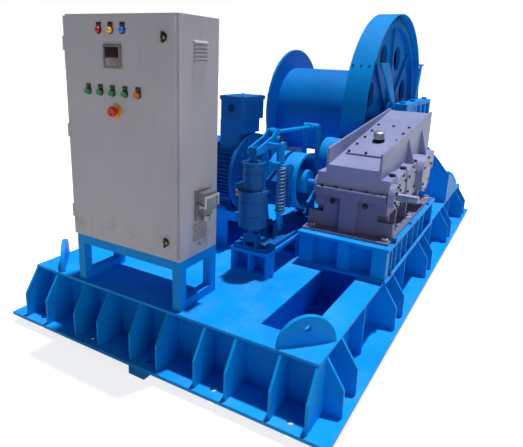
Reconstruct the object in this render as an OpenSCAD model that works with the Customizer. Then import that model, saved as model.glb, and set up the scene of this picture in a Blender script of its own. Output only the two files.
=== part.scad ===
// Electric winch on a welded base frame: motor, drum brake, three-stage gearbox,
// open final gear pair, rope drum and a control cabinet with operating buttons.
// Origin on the ground under the middle of the base, +Y towards the drum, +Z up.

/* [Base frame] */
// width of the base plate along X
base_x = 1780; // [1600:10:2000]
// length of the base plate along Y
base_y = 3550; // [3300:10:3900]
// thickness of the base plate
base_t = 16; // [10:1:25]
// height of the levelling packers under the base plate
packer_h = 40; // [20:1:60]
// height of the deck top above the base plate
frame_h = 255; // [220:1:300]
// thickness of the deck plate
deck_t = 12; // [8:1:20]
// distance from the base edge in to the deck edge
deck_in = 95; // [80:1:120]
// thickness of webs, gussets and stiffeners
web_t = 12; // [8:1:16]
// distance from the side edge in to the first gusset pair of an end
end_first = 178; // [178:1:230]
// distance from the end edge in to the first gusset pair of a side
side_first = 255; // [255:1:400]
// radius of the holding-down bolt holes
anchor_r = 15; // [10:0.5:20]
// radius of a lifting lug
lug_r = 124.5; // [100:0.5:140]
// radius of the shackle hole in a lifting lug
lug_hole_r = 14; // [10:0.5:20]

/* [Control cabinet] */
// width of the cabinet body
cab_w = 624; // [560:1:680]
// depth of the cabinet body
cab_d = 263; // [230:1:300]
// height of the cabinet body
cab_h = 1000; // [950:1:1100]
// height of the stand from the deck to the cabinet
stand_h = 233; // [180:1:280]
// side of the square stand tube
tube_w = 42; // [30:1:50]
// thickness of the cabinet sheet
sheet_t = 2; // [1.5:0.1:3]
// depth of the folded door edge in front of the body
door_d = 16.5; // [14:0.5:22]

/* [Motor] */
// height of the motor shaft above its feet
motor_h = 200; // [195:1:215]
// outside radius of the motor frame over its fins
fin_r = 203; // [192:1:206]
// radius of the motor shell between the fins
core_r = 178; // [165:1:182]
// length of the finned motor shell
shell_l = 565; // [480:5:570]

/* [Brake] */
// radius of the brake drum
brake_r = 158; // [150:1:162]
// width of the brake drum
brake_w = 180; // [160:1:186]
// thickness of a brake shoe with its lining
shoe_t = 38; // [32:1:42]
// stroke of the electro-hydraulic thruster
stroke = 50; // [30:1:52]
// outside radius of the brake spring
spring_r = 24; // [20:0.5:26]
// radius of the brake spring wire
wire_r = 3.5; // [2.5:0.1:4.5]

/* [Gearing] */
// height of the input shaft above the deck
shaft_h = 418; // [415:1:430]
// teeth of the input pinion
teeth_1a = 15; // [14:1:16]
// teeth of the first wheel
teeth_1b = 65; // [64:1:66]
// teeth of the second pinion
teeth_2a = 19; // [18:1:20]
// teeth of the second wheel
teeth_2b = 58; // [57:1:59]
// teeth of the third pinion
teeth_3a = 18; // [17:1:19]
// teeth of the third wheel
teeth_3b = 45; // [44:1:46]
// teeth of the open pinion
teeth_4a = 13; // [12:1:13]
// teeth of the bull gear
teeth_4b = 92; // [90:1:92]
// radius of the input stub shaft
stub_r = 21; // [18:0.5:22]

/* [Rope drum] */
// radius of the drum barrel
barrel_r = 342; // [300:1:360]
// radius of the drum flanges
flange_r = 492; // [450:1:520]
// height of the drum axis above the gearbox shafts
drum_rise = 252; // [240:1:265]
// distance from the left flange to the right flange, outside
drum_l = 735; // [650:1:740]
// radius of the drum shaft
axle_r = 60; // [50:1:70]
// outside radius of the gear guard
guard_r = 775; // [770:1:790]

/* [Hidden] */
$fn = 48;

blue = "#1c7fd6";
dark_blue = "#14508f";
mauve = "#8d86a8";
pale = "#c9ccd6";
silver = "#c4c7cc";
steel = "#8f949b";
rubber_black = "#26272a";

// shared clearances
over = 1;
run_gap = 0.05;
slide_gap = 0.3;
free_gap = 4;

// base frame levels and edges
base_z = packer_h + base_t;
deck_z = base_z + frame_h;
deck_z0 = deck_z - deck_t;
deck_hx = base_x / 2 - deck_in;
deck_hy = base_y / 2 - deck_in;
side_web_in = 63;
end_web_in = 75;
web_hx = deck_hx - side_web_in;
web_hy = deck_hy - end_web_in;
end_half = 77;
side_half = 79;
end_pitch = (base_x - 2 * end_first) / 4;
side_pitch = (base_y - 2 * side_first) / 4;
toe_in = 17;
toe_h = 125;
anchor_in = 54;
anchor_end_y = base_y / 2 - anchor_in;
anchor_side_x = base_x / 2 - anchor_in;
end_rows = [-2, -1, 0, 1, 2];
side_rows = [-2, -1, 0, 1, 2];

// drive line
shaft_z = deck_z + shaft_h;
input_in = 970;
input_y = -deck_hy + input_in;
mod_1 = 4;
mod_2 = 6;
mod_3 = 9;
mod_4 = 16;
second_y = input_y + mod_1 * (teeth_1a + teeth_1b) / 2;
third_y = second_y + mod_2 * (teeth_2a + teeth_2b) / 2;
output_y = third_y + mod_3 * (teeth_3a + teeth_3b) / 2;
open_cd = mod_4 * (teeth_4a + teeth_4b) / 2;
drum_y = output_y + sqrt(open_cd * open_cd - drum_rise * drum_rise);
drum_z = shaft_z + drum_rise;
pair_angle = atan2(drum_rise, drum_y - output_y);

// gearbox planes along X
box_x = 552;
wall_t = 12;
cavity_hx = 138;
wall_hx = cavity_hx + wall_t;
boss_hx = 198;
face_1 = 60;
face_2 = 80;
face_3 = 96;
gear_side = 6;
face_gap = 8;
plane_1 = [box_x - cavity_hx + gear_side, box_x - cavity_hx + gear_side + face_1];
plane_2 = [plane_1[1] + face_gap, plane_1[1] + face_gap + face_2];
plane_3 = [box_x + cavity_hx - gear_side - face_3, box_x + cavity_hx - gear_side];
pinion_extra = 2;

// straight boxes and rods
module block(xs, ys, zs)
  translate([xs[0], ys[0], zs[0]]) cube([xs[1] - xs[0], ys[1] - ys[0], zs[1] - zs[0]]);
module rod_x(xs, y, z, r)
  translate([xs[0], y, z]) rotate([0, 90, 0]) cylinder(h = xs[1] - xs[0], r = r);
module rod_y(x, ys, z, r)
  translate([x, ys[0], z]) rotate([-90, 0, 0]) cylinder(h = ys[1] - ys[0], r = r);
module rod_z(x, y, zs, r)
  translate([x, y, zs[0]]) cylinder(h = zs[1] - zs[0], r = r);
// plates standing across an axis, outline points [Y, Z], [X, Z] or [X, Y]
module plate_x(xs, points)
  translate([xs[0], 0, 0]) rotate([90, 0, 90]) linear_extrude(xs[1] - xs[0]) polygon(points);
module plate_y(ys, points)
  translate([0, ys[1], 0]) rotate([90, 0, 0]) linear_extrude(ys[1] - ys[0]) polygon(points);
module plate_z(zs, points)
  translate([0, 0, zs[0]]) linear_extrude(zs[1] - zs[0]) polygon(points);
module sheet_x(xs, y, z)
  translate([xs[0], y, z]) rotate([90, 0, 90]) linear_extrude(xs[1] - xs[0]) children();
// bolt with a hexagon head standing on a face that looks up
module bolt_z(x, y, z, r, grip) {
  rod_z(x, y, [z - grip, z + r / 2], r);
  translate([x, y, z]) cylinder(h = 1.3 * r, r = 1.9 * r, $fn = 6);
}

// base frame
lug_in = 98;
lug_t = 20;
lug_hole_h = 73;
weld_w = 7;
slot_x = [472, 664];
slot_y = [-1548, -780];
pit_x = [188, 330];
pit_half = 400;
girder_x = [-350, 160, 400];
cross_y = [-700, 0, 330, 1190];
packer_w = 90;
packer_d = 120;
packer_rear_in = 300;
packer_rear_x = 560;
packer_front_x = -25;

module anchor_holes(zs) {
  for (i = end_rows) for (s = [-1, 1])
    rod_z(i * end_pitch, s * anchor_end_y, zs, anchor_r);
  for (i = side_rows) for (s = [-1, 1])
    rod_z(s * anchor_side_x, i * side_pitch, zs, anchor_r);
}
module base_plate() color(blue) difference() {
  union() {
    block([-base_x / 2, base_x / 2], [-base_y / 2, base_y / 2], [packer_h, base_z]);
    levelling_packers();
  }
  anchor_holes([packer_h - over, base_z + over]);
}
module base_webs() color(dark_blue) {
  zs = [base_z, deck_z0];
  for (s = [-1, 1]) {
    block([-web_hx, web_hx], [s > 0 ? web_hy - web_t : -web_hy,
      s > 0 ? web_hy : -web_hy + web_t], zs);
    block([s > 0 ? web_hx - web_t : -web_hx, s > 0 ? web_hx : -web_hx + web_t],
      [-web_hy + web_t, web_hy - web_t], zs);
  }
  for (x = girder_x) block([x, x + web_t], [-web_hy + web_t, web_hy - web_t], zs);
  for (y = cross_y) {
    block([-web_hx + web_t, girder_x[0]], [y, y + web_t], zs);
    block([girder_x[0] + web_t, girder_x[1]], [y, y + web_t], zs);
    block([girder_x[1] + web_t, girder_x[2]], [y, y + web_t], zs);
    block([girder_x[2] + web_t, web_hx - web_t], [y, y + web_t], zs);
  }
}
// gusset outline from the web out to its toe and up to the deck edge
function gusset(web, toe, edge) = [[web, base_z], [toe, base_z],
  [toe, base_z + toe_h], [edge, deck_z0], [web, deck_z0]];
module base_gussets() color(blue) {
  toe_y = base_y / 2 - toe_in;
  toe_x = base_x / 2 - toe_in;
  for (s = [0, 180]) rotate([0, 0, s]) {
    for (i = end_rows) for (k = [-1, 1])
      plate_x([i * end_pitch + k * end_half - web_t / 2,
        i * end_pitch + k * end_half + web_t / 2], gusset(web_hy, toe_y, deck_hy));
    for (i = side_rows) for (k = [-1, 1])
      plate_y([i * side_pitch + k * side_half - web_t / 2,
        i * side_pitch + k * side_half + web_t / 2], gusset(web_hx, toe_x, deck_hx));
    for (i = [-1.5, -0.5, 0.5, 1.5])
      block([web_hx, deck_hx], [i * side_pitch - web_t / 2,
        i * side_pitch + web_t / 2], [base_z, deck_z0]);
  }
}
module deck_plate() color(blue) difference() {
  block([-deck_hx, deck_hx], [-deck_hy, deck_hy], [deck_z0, deck_z]);
  block(slot_x, slot_y, [deck_z0 - over, deck_z + over]);
  block(pit_x, [drum_y - pit_half, drum_y + pit_half], [deck_z0 - over, deck_z + over]);
}
module lifting_lugs() color(blue)
  for (sx = [-1, 1]) for (sy = [-1, 1])
    translate([sx * (deck_hx - lug_in), sy * (deck_hy - lug_in), deck_z])
      rotate([0, 0, -sx * sy * 45]) {
        difference() {
          intersection() {
            rod_y(0, [-lug_t / 2, lug_t / 2], 0, lug_r);
            block([-lug_r, lug_r], [-lug_t, lug_t], [0, lug_r + over]);
          }
          rod_y(0, [-lug_t, lug_t], lug_hole_h, lug_hole_r);
        }
        for (t = [0, 180]) rotate([0, 0, t])
          plate_x([-lug_r + weld_w, lug_r - weld_w],
            [[lug_t / 2, 0], [lug_t / 2 + weld_w, 0], [lug_t / 2, weld_w]]);
      }
module levelling_packers() {
  hw = packer_w / 2;
  block([packer_front_x - hw, packer_front_x + hw],
    [-base_y / 2, -base_y / 2 + packer_d], [0, packer_h]);
  for (s = [-1, 1])
    block([s * packer_rear_x - hw, s * packer_rear_x + hw],
      [base_y / 2 - packer_rear_in - packer_d, base_y / 2 - packer_rear_in], [0, packer_h]);
}

// control cabinet
cab_x0 = -490;
cab_x1 = cab_x0 + cab_w;
door_gap = 0.5;
cab_y0 = -deck_hy + door_d + door_gap;
cab_y1 = cab_y0 + cab_d;
cab_z0 = deck_z + stand_h;
cab_z1 = cab_z0 + cab_h;
door_in = 8;
door_foot = 11;
hinge_r = 6;
door_y1 = cab_y0 - door_gap;
door_y0 = door_y1 - door_d;
door_x0 = cab_x0 + hinge_r;
door_x1 = cab_x1 - door_in;
door_z0 = cab_z0 + door_foot;
door_z1 = cab_z1 - door_in;
hinge_x = cab_x0 - hinge_r;
hinge_y = cab_y0 - hinge_r - over;
knuckle_l = 60;
knuckle_in = 120;
knuckle_at = [knuckle_in, cab_h / 2, cab_h - knuckle_in];
lip_w = 22;
louvre_y = [cab_y0 + 90, cab_y0 + 181];
louvre_n = 6;
louvre_low = [67, 150];
louvre_up = [822, 911];
hood_out = 8;
hood_h = 9;
sign_y = [85, 171];
sign_z = [751, 818];
sign_t = 1.5;
earth_at = [129, 43];
earth_r = 5;
earth_l = 16;
connector_y = [98, 205];
connector_z = [154, 296];
latch_x = cab_x1 - 59;
latch_in = 89;
latch_up = cab_h - latch_in;
latch_low = 85;
latch_r = 13;
latch_stem_r = 8;
latch_tongue = 34;
lamp_x = [-402.5, -337, -271];
lamp_in = 65;
lamp_h = cab_h - lamp_in;
lamp_r = 13;
lamp_out = 15;
button_x = [-478, -406, -337, -266, -195];
button_drop = 250;
button_h = lamp_h - button_drop;
button_r = 13;
bezel_r = 17;
bezel_out = 9;
button_out = 17;
button_stem_r = 9;
button_travel = 5;
estop_x = -320;
estop_drop = 75;
estop_h = button_h - estop_drop;
estop_r = 20;
estop_ring_r = 30;
estop_ring_t = 3;
estop_out = 34;
meter_x = -328;
meter_drop = 104;
meter_h = lamp_h - meter_drop;
meter_w = 96;
meter_out = 9;
meter_back = 55;
name_w = 44;
name_h = 16;
name_t = 1.2;
name_up = 34;

module cabinet_stand() color(pale) {
  zs = [deck_z, cab_z0];
  for (x = [cab_x0, cab_x1 - tube_w]) {
    for (y = [cab_y0, cab_y1 - tube_w]) block([x, x + tube_w], [y, y + tube_w], zs);
    for (z = [deck_z, cab_z0 - tube_w])
      block([x, x + tube_w], [cab_y0 + tube_w, cab_y1 - tube_w], [z, z + tube_w]);
  }
  for (y = [cab_y0, cab_y1 - tube_w])
    block([cab_x0 + tube_w, cab_x1 - tube_w], [y, y + tube_w], [cab_z0 - tube_w, cab_z0]);
}
module louvre_cuts(z0, z1) {
  pitch = (z1 - z0) / louvre_n;
  for (i = [0 : louvre_n - 1])
    block([cab_x1 - sheet_t - over, cab_x1 + over], louvre_y,
      [cab_z0 + z0 + i * pitch, cab_z0 + z0 + i * pitch + hood_h / 2]);
}
module louvre_hoods(z0, z1) {
  pitch = (z1 - z0) / louvre_n;
  for (i = [0 : louvre_n - 1]) {
    z = cab_z0 + z0 + i * pitch;
    plate_y(louvre_y, [[cab_x1, z + hood_h / 2], [cab_x1 + hood_out, z],
      [cab_x1 + hood_out, z + sheet_t], [cab_x1, z + hood_h + sheet_t]]);
  }
}
module cabinet_body() color(pale) {
  difference() {
    union() {
      block([cab_x0, cab_x1], [cab_y0, cab_y1], [cab_z0, cab_z1]);
    }
    block([cab_x0 + sheet_t, cab_x1 - sheet_t], [cab_y0 + sheet_t, cab_y1 - sheet_t],
      [cab_z0 + sheet_t, cab_z1 - sheet_t]);
    block([cab_x0 + lip_w, cab_x1 - lip_w], [cab_y0 - over, cab_y0 + sheet_t + over],
      [cab_z0 + lip_w, cab_z1 - lip_w]);
    louvre_cuts(louvre_up[0], louvre_up[1]);
    louvre_cuts(louvre_low[0], louvre_low[1]);
  }
  louvre_hoods(louvre_up[0], louvre_up[1]);
  louvre_hoods(louvre_low[0], louvre_low[1]);
  block([cab_x1, cab_x1 + sign_t], [cab_y0 + sign_y[0], cab_y0 + sign_y[1]],
    [cab_z0 + sign_z[0], cab_z0 + sign_z[1]]);
  rod_x([cab_x1, cab_x1 + earth_l], cab_y0 + earth_at[0], cab_z0 + earth_at[1], earth_r);
  translate([cab_x1, cab_y0 + earth_at[0], cab_z0 + earth_at[1]]) rotate([0, 90, 0])
    cylinder(h = earth_l / 2, r = 2 * earth_r, $fn = 6);
  for (h = knuckle_at) {
    rod_z(hinge_x, hinge_y, [cab_z0 + h - knuckle_l / 2, cab_z0 + h - slide_gap], hinge_r);
    rod_z(hinge_x, hinge_y, [cab_z0 + h - over, cab_z0 + h + knuckle_l / 2], hinge_r / 2);
    block([hinge_x - hinge_r, hinge_x + sheet_t - hinge_r], [hinge_y, cab_y0 + lip_w],
      [cab_z0 + h - knuckle_l / 2, cab_z0 + h - slide_gap]);
    block([hinge_x - hinge_r, cab_x0], [cab_y0 + lip_w - sheet_t, cab_y0 + lip_w],
      [cab_z0 + h - knuckle_l / 2, cab_z0 + h - slide_gap]);
  }
}
module door_holes() {
  ys = [door_y0 - over, door_y1 + over];
  for (x = lamp_x) rod_y(cab_x1 + x, ys, cab_z0 + lamp_h, lamp_r - over);
  for (x = button_x) rod_y(cab_x1 + x, ys, cab_z0 + button_h, button_r);
  rod_y(cab_x1 + estop_x, ys, cab_z0 + estop_h, button_r);
  block([cab_x1 + meter_x - meter_w / 2 + free_gap, cab_x1 + meter_x + meter_w / 2 - free_gap], ys,
    [cab_z0 + meter_h - meter_w / 2 + free_gap, cab_z0 + meter_h + meter_w / 2 - free_gap]);
  for (h = [latch_low, latch_up]) rod_y(latch_x, ys, cab_z0 + h, latch_stem_r + slide_gap);
}
module cabinet_door() color(pale) {
  difference() {
    block([door_x0, door_x1], [door_y0, door_y1], [door_z0, door_z1]);
    block([door_x0 + sheet_t, door_x1 - sheet_t], [door_y0 + sheet_t, door_y1 + over],
      [door_z0 + sheet_t, door_z1 - sheet_t]);
    door_holes();
  }
  for (h = knuckle_at) difference() {
    union() {
      rod_z(hinge_x, hinge_y, [cab_z0 + h, cab_z0 + h + knuckle_l / 2], hinge_r);
      block([hinge_x, door_x0 + sheet_t], [hinge_y - hinge_r, hinge_y - hinge_r + sheet_t],
        [cab_z0 + h, cab_z0 + h + knuckle_l / 2]);
    }
    rod_z(hinge_x, hinge_y, [cab_z0 + h - over, cab_z0 + h + knuckle_l / 2 + over],
      hinge_r / 2 + run_gap);
  }
}
gear_board_t = 3;
gear_board_gap = 18;
drive_w = 190;
drive_h = 380;
drive_d = 150;
relay_w = 55;
relay_h = 90;
relay_d = 80;
module cabinet_gear() color(silver) {
  y1 = cab_y1 - sheet_t;
  y0 = y1 - gear_board_gap - gear_board_t;
  block([cab_x0 + 2 * lip_w, cab_x1 - 2 * lip_w], [y0, y0 + gear_board_t],
    [cab_z0 + 2 * lip_w, cab_z1 - 2 * lip_w]);
  for (x = [cab_x0 + 3 * lip_w, cab_x1 - 3 * lip_w]) for (z = [cab_z0 + 3 * lip_w, cab_z1 - 3 * lip_w])
    rod_y(x, [y0 + gear_board_t, y1], z, earth_r);
  block([cab_x0 + 4 * lip_w, cab_x0 + 4 * lip_w + drive_w], [y0 - drive_d, y0],
    [cab_z0 + drive_w, cab_z0 + drive_w + drive_h]);
  for (i = [0 : 3]) block([cab_x1 - 4 * lip_w - relay_w - i * (relay_w + gear_board_t),
    cab_x1 - 4 * lip_w - i * (relay_w + gear_board_t)], [y0 - relay_d, y0],
    [cab_z0 + drive_w, cab_z0 + drive_w + relay_h]);
  block([cab_x1 - 4 * lip_w - drive_w, cab_x1 - 4 * lip_w], [y0 - relay_d, y0],
    [cab_z0 + drive_h, cab_z0 + drive_h + relay_h]);
}
module latch(h) {
  z = cab_z0 + h;
  difference() {
    rod_y(latch_x, [door_y0 - free_gap, door_y0 - slide_gap], z, latch_r);
    block([latch_x - latch_r / 4, latch_x + latch_r / 4],
      [door_y0 - free_gap - over, door_y0 - free_gap / 2], [z - latch_r / 2, z + latch_r / 2]);
  }
  rod_y(latch_x, [door_y0 - free_gap / 2, door_y1 - free_gap / 2], z, latch_stem_r);
  block([latch_x - latch_stem_r, latch_x + latch_tongue],
    [door_y1 - 1.5 * free_gap, door_y1 - free_gap / 2], [z - latch_stem_r, z + latch_stem_r]);
}
module upper_latch() color(silver) latch(latch_up);
module lower_latch() color(silver) latch(latch_low);
module pilot_lamps() {
  for (i = [0 : 2]) color(["#c23434", "#d8b53a", "#3a6fd0"][i]) {
    z = cab_z0 + lamp_h;
    rod_y(cab_x1 + lamp_x[i], [door_y0 - lamp_out, door_y0], z, lamp_r);
    rod_y(cab_x1 + lamp_x[i], [door_y0, door_y1 - free_gap], z, lamp_r - over);
  }
}
module door_fittings() color(silver) {
  z = cab_z0 + button_h;
  for (x = button_x) difference() {
    union() {
      rod_y(cab_x1 + x, [door_y0 - bezel_out, door_y0], z, bezel_r);
      rod_y(cab_x1 + x, [door_y0, door_y1 - free_gap / 2], z, button_r);
    }
    rod_y(cab_x1 + x, [door_y0 - bezel_out - over, door_y0 - slide_gap], z, button_r + slide_gap);
    rod_y(cab_x1 + x, [door_y0 - over, door_y1 + over], z, button_stem_r + slide_gap);
  }
  for (x = button_x) block([cab_x1 + x - name_w / 2, cab_x1 + x + name_w / 2],
    [door_y0 - name_t, door_y0], [z + name_up - name_h / 2, z + name_up + name_h / 2]);
  for (x = lamp_x) block([cab_x1 + x - name_w / 2, cab_x1 + x + name_w / 2],
    [door_y0 - name_t, door_y0], [cab_z0 + lamp_h + name_up - name_h / 2,
    cab_z0 + lamp_h + name_up + name_h / 2]);
  color("#e3c22c") difference() {
    union() {
      rod_y(cab_x1 + estop_x, [door_y0 - estop_ring_t, door_y0], cab_z0 + estop_h, estop_ring_r);
      rod_y(cab_x1 + estop_x, [door_y0, door_y1 - free_gap / 2], cab_z0 + estop_h, button_r);
    }
    rod_y(cab_x1 + estop_x, [door_y0 - bezel_out, door_y1 + over], cab_z0 + estop_h,
      button_stem_r + slide_gap);
  }
}
module panel_meter() color(rubber_black) {
  x = cab_x1 + meter_x;
  z = cab_z0 + meter_h;
  hw = meter_w / 2;
  difference() {
    block([x - hw, x + hw], [door_y0 - meter_out, door_y0], [z - hw, z + hw]);
    block([x - hw + 3 * over, x + hw - 3 * over], [door_y0 - meter_out - over, door_y0 - meter_out / 2],
      [z - hw + 3 * over, z + hw - 3 * over]);
  }
  block([x - hw + free_gap + over, x + hw - free_gap - over],
    [door_y0, door_y1 - free_gap / 2], [z - hw + free_gap + over, z + hw - free_gap - over]);
}
module push_button(i, shade) color(shade) {
  z = cab_z0 + button_h;
  rod_y(cab_x1 + button_x[i], [door_y0 - button_out, door_y0 - button_travel - 2 * slide_gap],
    z, button_r);
  rod_y(cab_x1 + button_x[i], [door_y0 - button_out + over, door_y1 - button_travel - free_gap / 2],
    z, button_stem_r);
}
module hoist_button() push_button(0, "#2f9e4f");
module lower_button() push_button(1, "#2f9e4f");
module fast_button() push_button(2, "#2f9e4f");
module slow_button() push_button(3, "#2f9e4f");
module reset_button() push_button(4, "#d9672a");
module estop_button() color("#c22d2d") {
  x = cab_x1 + estop_x;
  z = cab_z0 + estop_h;
  rod_y(x, [door_y0 - estop_out, door_y0 - estop_out / 2], z, estop_r);
  rod_y(x, [door_y0 - estop_out / 2, door_y1 - button_travel - free_gap / 2], z, button_stem_r);
}
con_d = 46;
con_lid = 60;
lever_r = 5;
lever_t = 4;
lever_l = 80;
module cable_connector() color("#6d7177") {
  ys = [cab_y0 + connector_y[0], cab_y0 + connector_y[1]];
  zs = [cab_z0 + connector_z[0], cab_z0 + connector_z[1]];
  zm = (zs[0] + zs[1]) / 2;
  ym = (ys[0] + ys[1]) / 2;
  block([cab_x1, cab_x1 + con_d / 4], ys, [zs[0] + lever_r, zs[1]]);
  block([cab_x1 + con_d / 4, cab_x1 + con_d], [ys[0] + con_d / 4, ys[1] - con_d / 4],
    [zm - con_d / 2, zs[1] - con_d / 4]);
  block([cab_x1 + con_d / 4, cab_x1 + con_d * 3 / 4], [ys[0] + con_d / 2, ys[1] - con_d / 2],
    [zs[0] + con_d / 2, zm - con_d / 2]);
  rod_z(cab_x1 + con_d / 2, ym, [zs[0], zs[0] + con_d / 2], con_d / 2 - lever_t);
  rod_y(cab_x1 + con_d / 2, [ys[0] + con_d / 4 - 2 * lever_t, ys[1] - con_d / 4 + 2 * lever_t],
    zm, lever_r);
}
module connector_lever() color(silver) {
  ys = [cab_y0 + connector_y[0] + con_d / 4, cab_y0 + connector_y[1] - con_d / 4];
  zm = cab_z0 + (connector_z[0] + connector_z[1]) / 2;
  xm = cab_x1 + con_d / 2;
  x1 = cab_x1 + con_d + lever_t;
  difference() {
    union() for (y = [ys[0] - 1.5 * lever_t, ys[1] + lever_t / 2]) {
      rod_y(xm, [y, y + lever_t], zm, 2 * lever_r);
      block([xm - lever_r, x1], [y, y + lever_t], [zm - lever_r, zm + lever_r]);
      block([x1, x1 + 2 * lever_t], [y, y + lever_t], [zm - lever_r, zm + lever_l / 2]);
    }
    rod_y(xm, [ys[0] - 4 * lever_t, ys[1] + 4 * lever_t], zm, lever_r + run_gap);
  }
  block([x1, x1 + 2 * lever_t], [ys[0] - 1.5 * lever_t, ys[1] + 1.5 * lever_t],
    [zm + lever_l / 2, zm + lever_l / 2 + 2 * lever_r]);
}

// motor on its raised frame
motor_x1 = -80;
shield_t = 23;
shell_x1 = motor_x1 - shield_t;
shell_x0 = shell_x1 - shell_l;
motor_x0 = shell_x0 - shield_t;
cowl_l = 100;
cowl_t = 3;
cowl_r = 190;
foot_z = shaft_z - motor_h;
stator_r = 112;
rotor_r = 110;
rotor_gap = 60;
motor_shaft_r = 24;
motor_flange_r = 237;
flange_hole_r = 9;
fin_t = 4;
fin_n = 8;
fin_pitch = 22;
frame_hw = 190;
frame_x = [-610, -135];
frame_plate_t = 15;
rail_w = 61;
rail_h = 54;
rail_x1 = -70;
foot_w = 60;
foot_l = 90;
foot_t = 22;
foot_y = 159;
foot_bolt_r = 8;
tbox_x = [-245, -77];
tbox_y = [input_y - 130, input_y + 110];
tbox_z = [shaft_z + 319, shaft_z + 451];
tbox_lid = 22;
tbox_cut = 20;
neck_y = [input_y - 120, input_y + 55];
neck_x = [-240, -106];
neck_z = shaft_z + 243;
entry_r = 22;
module motor_frame() color(blue) {
  zs = [deck_z, foot_z - rail_h - frame_plate_t];
  block(frame_x, [input_y - frame_hw, input_y + frame_hw], [zs[1], foot_z - rail_h]);
  difference() {
    for (y = [input_y - frame_hw, input_y + frame_hw - rail_w])
      block([frame_x[0], rail_x1], [y, y + rail_w], [foot_z - rail_h, foot_z]);
    foot_places() translate([0, 0, foot_z - 2 * foot_t]) cylinder(h = 4 * foot_t, r = foot_bolt_r);
  }
  for (y = [input_y - frame_hw, input_y + frame_hw - web_t])
    block(frame_x, [y, y + web_t], zs);
  for (x = [frame_x[0], (frame_x[0] + frame_x[1]) / 2])
    block([x, x + web_t], [input_y - frame_hw + web_t, input_y + frame_hw - web_t], zs);
}
module foot_places() for (x = [shell_x0 + foot_l, shell_x1 - foot_l]) for (s = [-1, 1])
  translate([x, input_y + s * foot_y, 0]) rotate([0, 0, s > 0 ? 0 : 180]) children();
module motor_body() color(blue) {
  difference() {
    union() {
      rod_x([shell_x0, shell_x1], input_y, shaft_z, core_r);
      for (i = [-fin_n : fin_n]) block([shell_x0 + fin_t, shell_x1 - fin_t],
        [input_y - sqrt(fin_r * fin_r - i * i * fin_pitch * fin_pitch),
        input_y + sqrt(fin_r * fin_r - i * i * fin_pitch * fin_pitch)],
        [shaft_z + i * fin_pitch - fin_t / 2, shaft_z + i * fin_pitch + fin_t / 2]);
      foot_places() {
        block([-foot_l / 2, foot_l / 2], [-foot_w / 2, foot_w / 2], [foot_z, foot_z + foot_t]);
        block([-foot_l / 2, foot_l / 2], [-foot_w / 2, -foot_w / 2 + foot_t / 2], [foot_z, foot_z + 5 * foot_t]);
      }
      block(neck_x, neck_y, [shaft_z, tbox_z[0]]);
      block([neck_x[0], tbox_x[1] - fin_t], neck_y, [neck_z, tbox_z[0]]);
    }
    rod_x([shell_x0 - over, shell_x1 + over], input_y, shaft_z, stator_r);
    foot_places() translate([0, 0, foot_z - over]) cylinder(h = 4 * foot_t, r = foot_bolt_r);
  }
  foot_places() {
    rod_z(0, 0, [foot_z - foot_t, foot_z + foot_t], foot_bolt_r);
    translate([0, 0, foot_z + foot_t]) cylinder(h = foot_bolt_r, r = 2 * foot_bolt_r, $fn = 6);
  }
}
module motor_end_shields() color(blue) {
  difference() {
    union() {
      rod_x([shell_x1, motor_x1], input_y, shaft_z, motor_flange_r, $fn = 96);
      rod_x([motor_x1, motor_x1 + fin_t], input_y, shaft_z, stator_r);
      for (a = [0 : 45 : 315]) translate([motor_x1, input_y, shaft_z]) rotate([a, 0, 0])
        translate([0, core_r - 3 * fin_t, 0]) rotate([0, 90, 0]) cylinder(h = fin_t, r = 2 * fin_t, $fn = 6);
    }
    rod_x([shell_x1 - over, motor_x1 + shield_t], input_y, shaft_z, motor_shaft_r + run_gap);
    for (a = [22.5 : 45 : 337.5]) translate([0, input_y, shaft_z]) rotate([a, 0, 0])
      rod_x([shell_x1 - over, motor_x1 + over], motor_flange_r - 2 * flange_hole_r, 0, flange_hole_r);
  }
  difference() {
    rod_x([motor_x0, shell_x0], input_y, shaft_z, core_r + fin_t);
    rod_x([motor_x0 - over, shell_x0 + over], input_y, shaft_z, motor_shaft_r + run_gap);
  }
}
module fan_cowl() color(blue) difference() {
  rod_x([motor_x0 - cowl_l, motor_x0 + shield_t / 2], input_y, shaft_z, cowl_r);
  rod_x([motor_x0 - cowl_l + cowl_t, motor_x0], input_y, shaft_z, cowl_r - cowl_t);
  rod_x([motor_x0 - over, motor_x0 + shield_t], input_y, shaft_z, core_r + fin_t);
  for (r = [1 : 5]) for (a = [0 : 30 : 330])
    translate([motor_x0 - cowl_l - over, input_y, shaft_z]) rotate([a, 0, 0])
      translate([0, r * cowl_r / 6, 0]) rotate([0, 90, 0])
        cylinder(h = cowl_t + 2 * over, r = r * fin_t / 2 + over, $fn = 16);
}
coupling_r = 90;
coupling_t = 48;
half_gap = 4;
coupling_x = 40;
pin_n = 6;
pin_r = 8;
fan_r = 150;
module motor_rotor() color(steel) {
  cx1 = coupling_x - half_gap / 2;
  cx0 = cx1 - coupling_t;
  difference() {
    union() {
      rod_x([motor_x0 - cowl_l / 2, cx1], input_y, shaft_z, motor_shaft_r);
      rod_x([shell_x0 + rotor_gap, shell_x1 - rotor_gap], input_y, shaft_z, rotor_r);
      rod_x([cx0, cx1], input_y, shaft_z, coupling_r);
      rod_x([cx0 - coupling_t / 2, cx0], input_y, shaft_z, coupling_r / 2);
      rod_x([motor_x0 - cowl_l / 2, motor_x0 - cowl_l / 4], input_y, shaft_z, 2 * motor_shaft_r);
      for (a = [0 : 60 : 300]) translate([0, input_y, shaft_z]) rotate([a, 0, 0])
        block([motor_x0 - cowl_l * 2 / 3, motor_x0 - cowl_l / 4],
          [motor_shaft_r, fan_r], [-fin_t / 2, fin_t / 2]);
    }
    coupling_pins([cx0 - over, cx1 + over], pin_r + slide_gap);
  }
}
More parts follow.
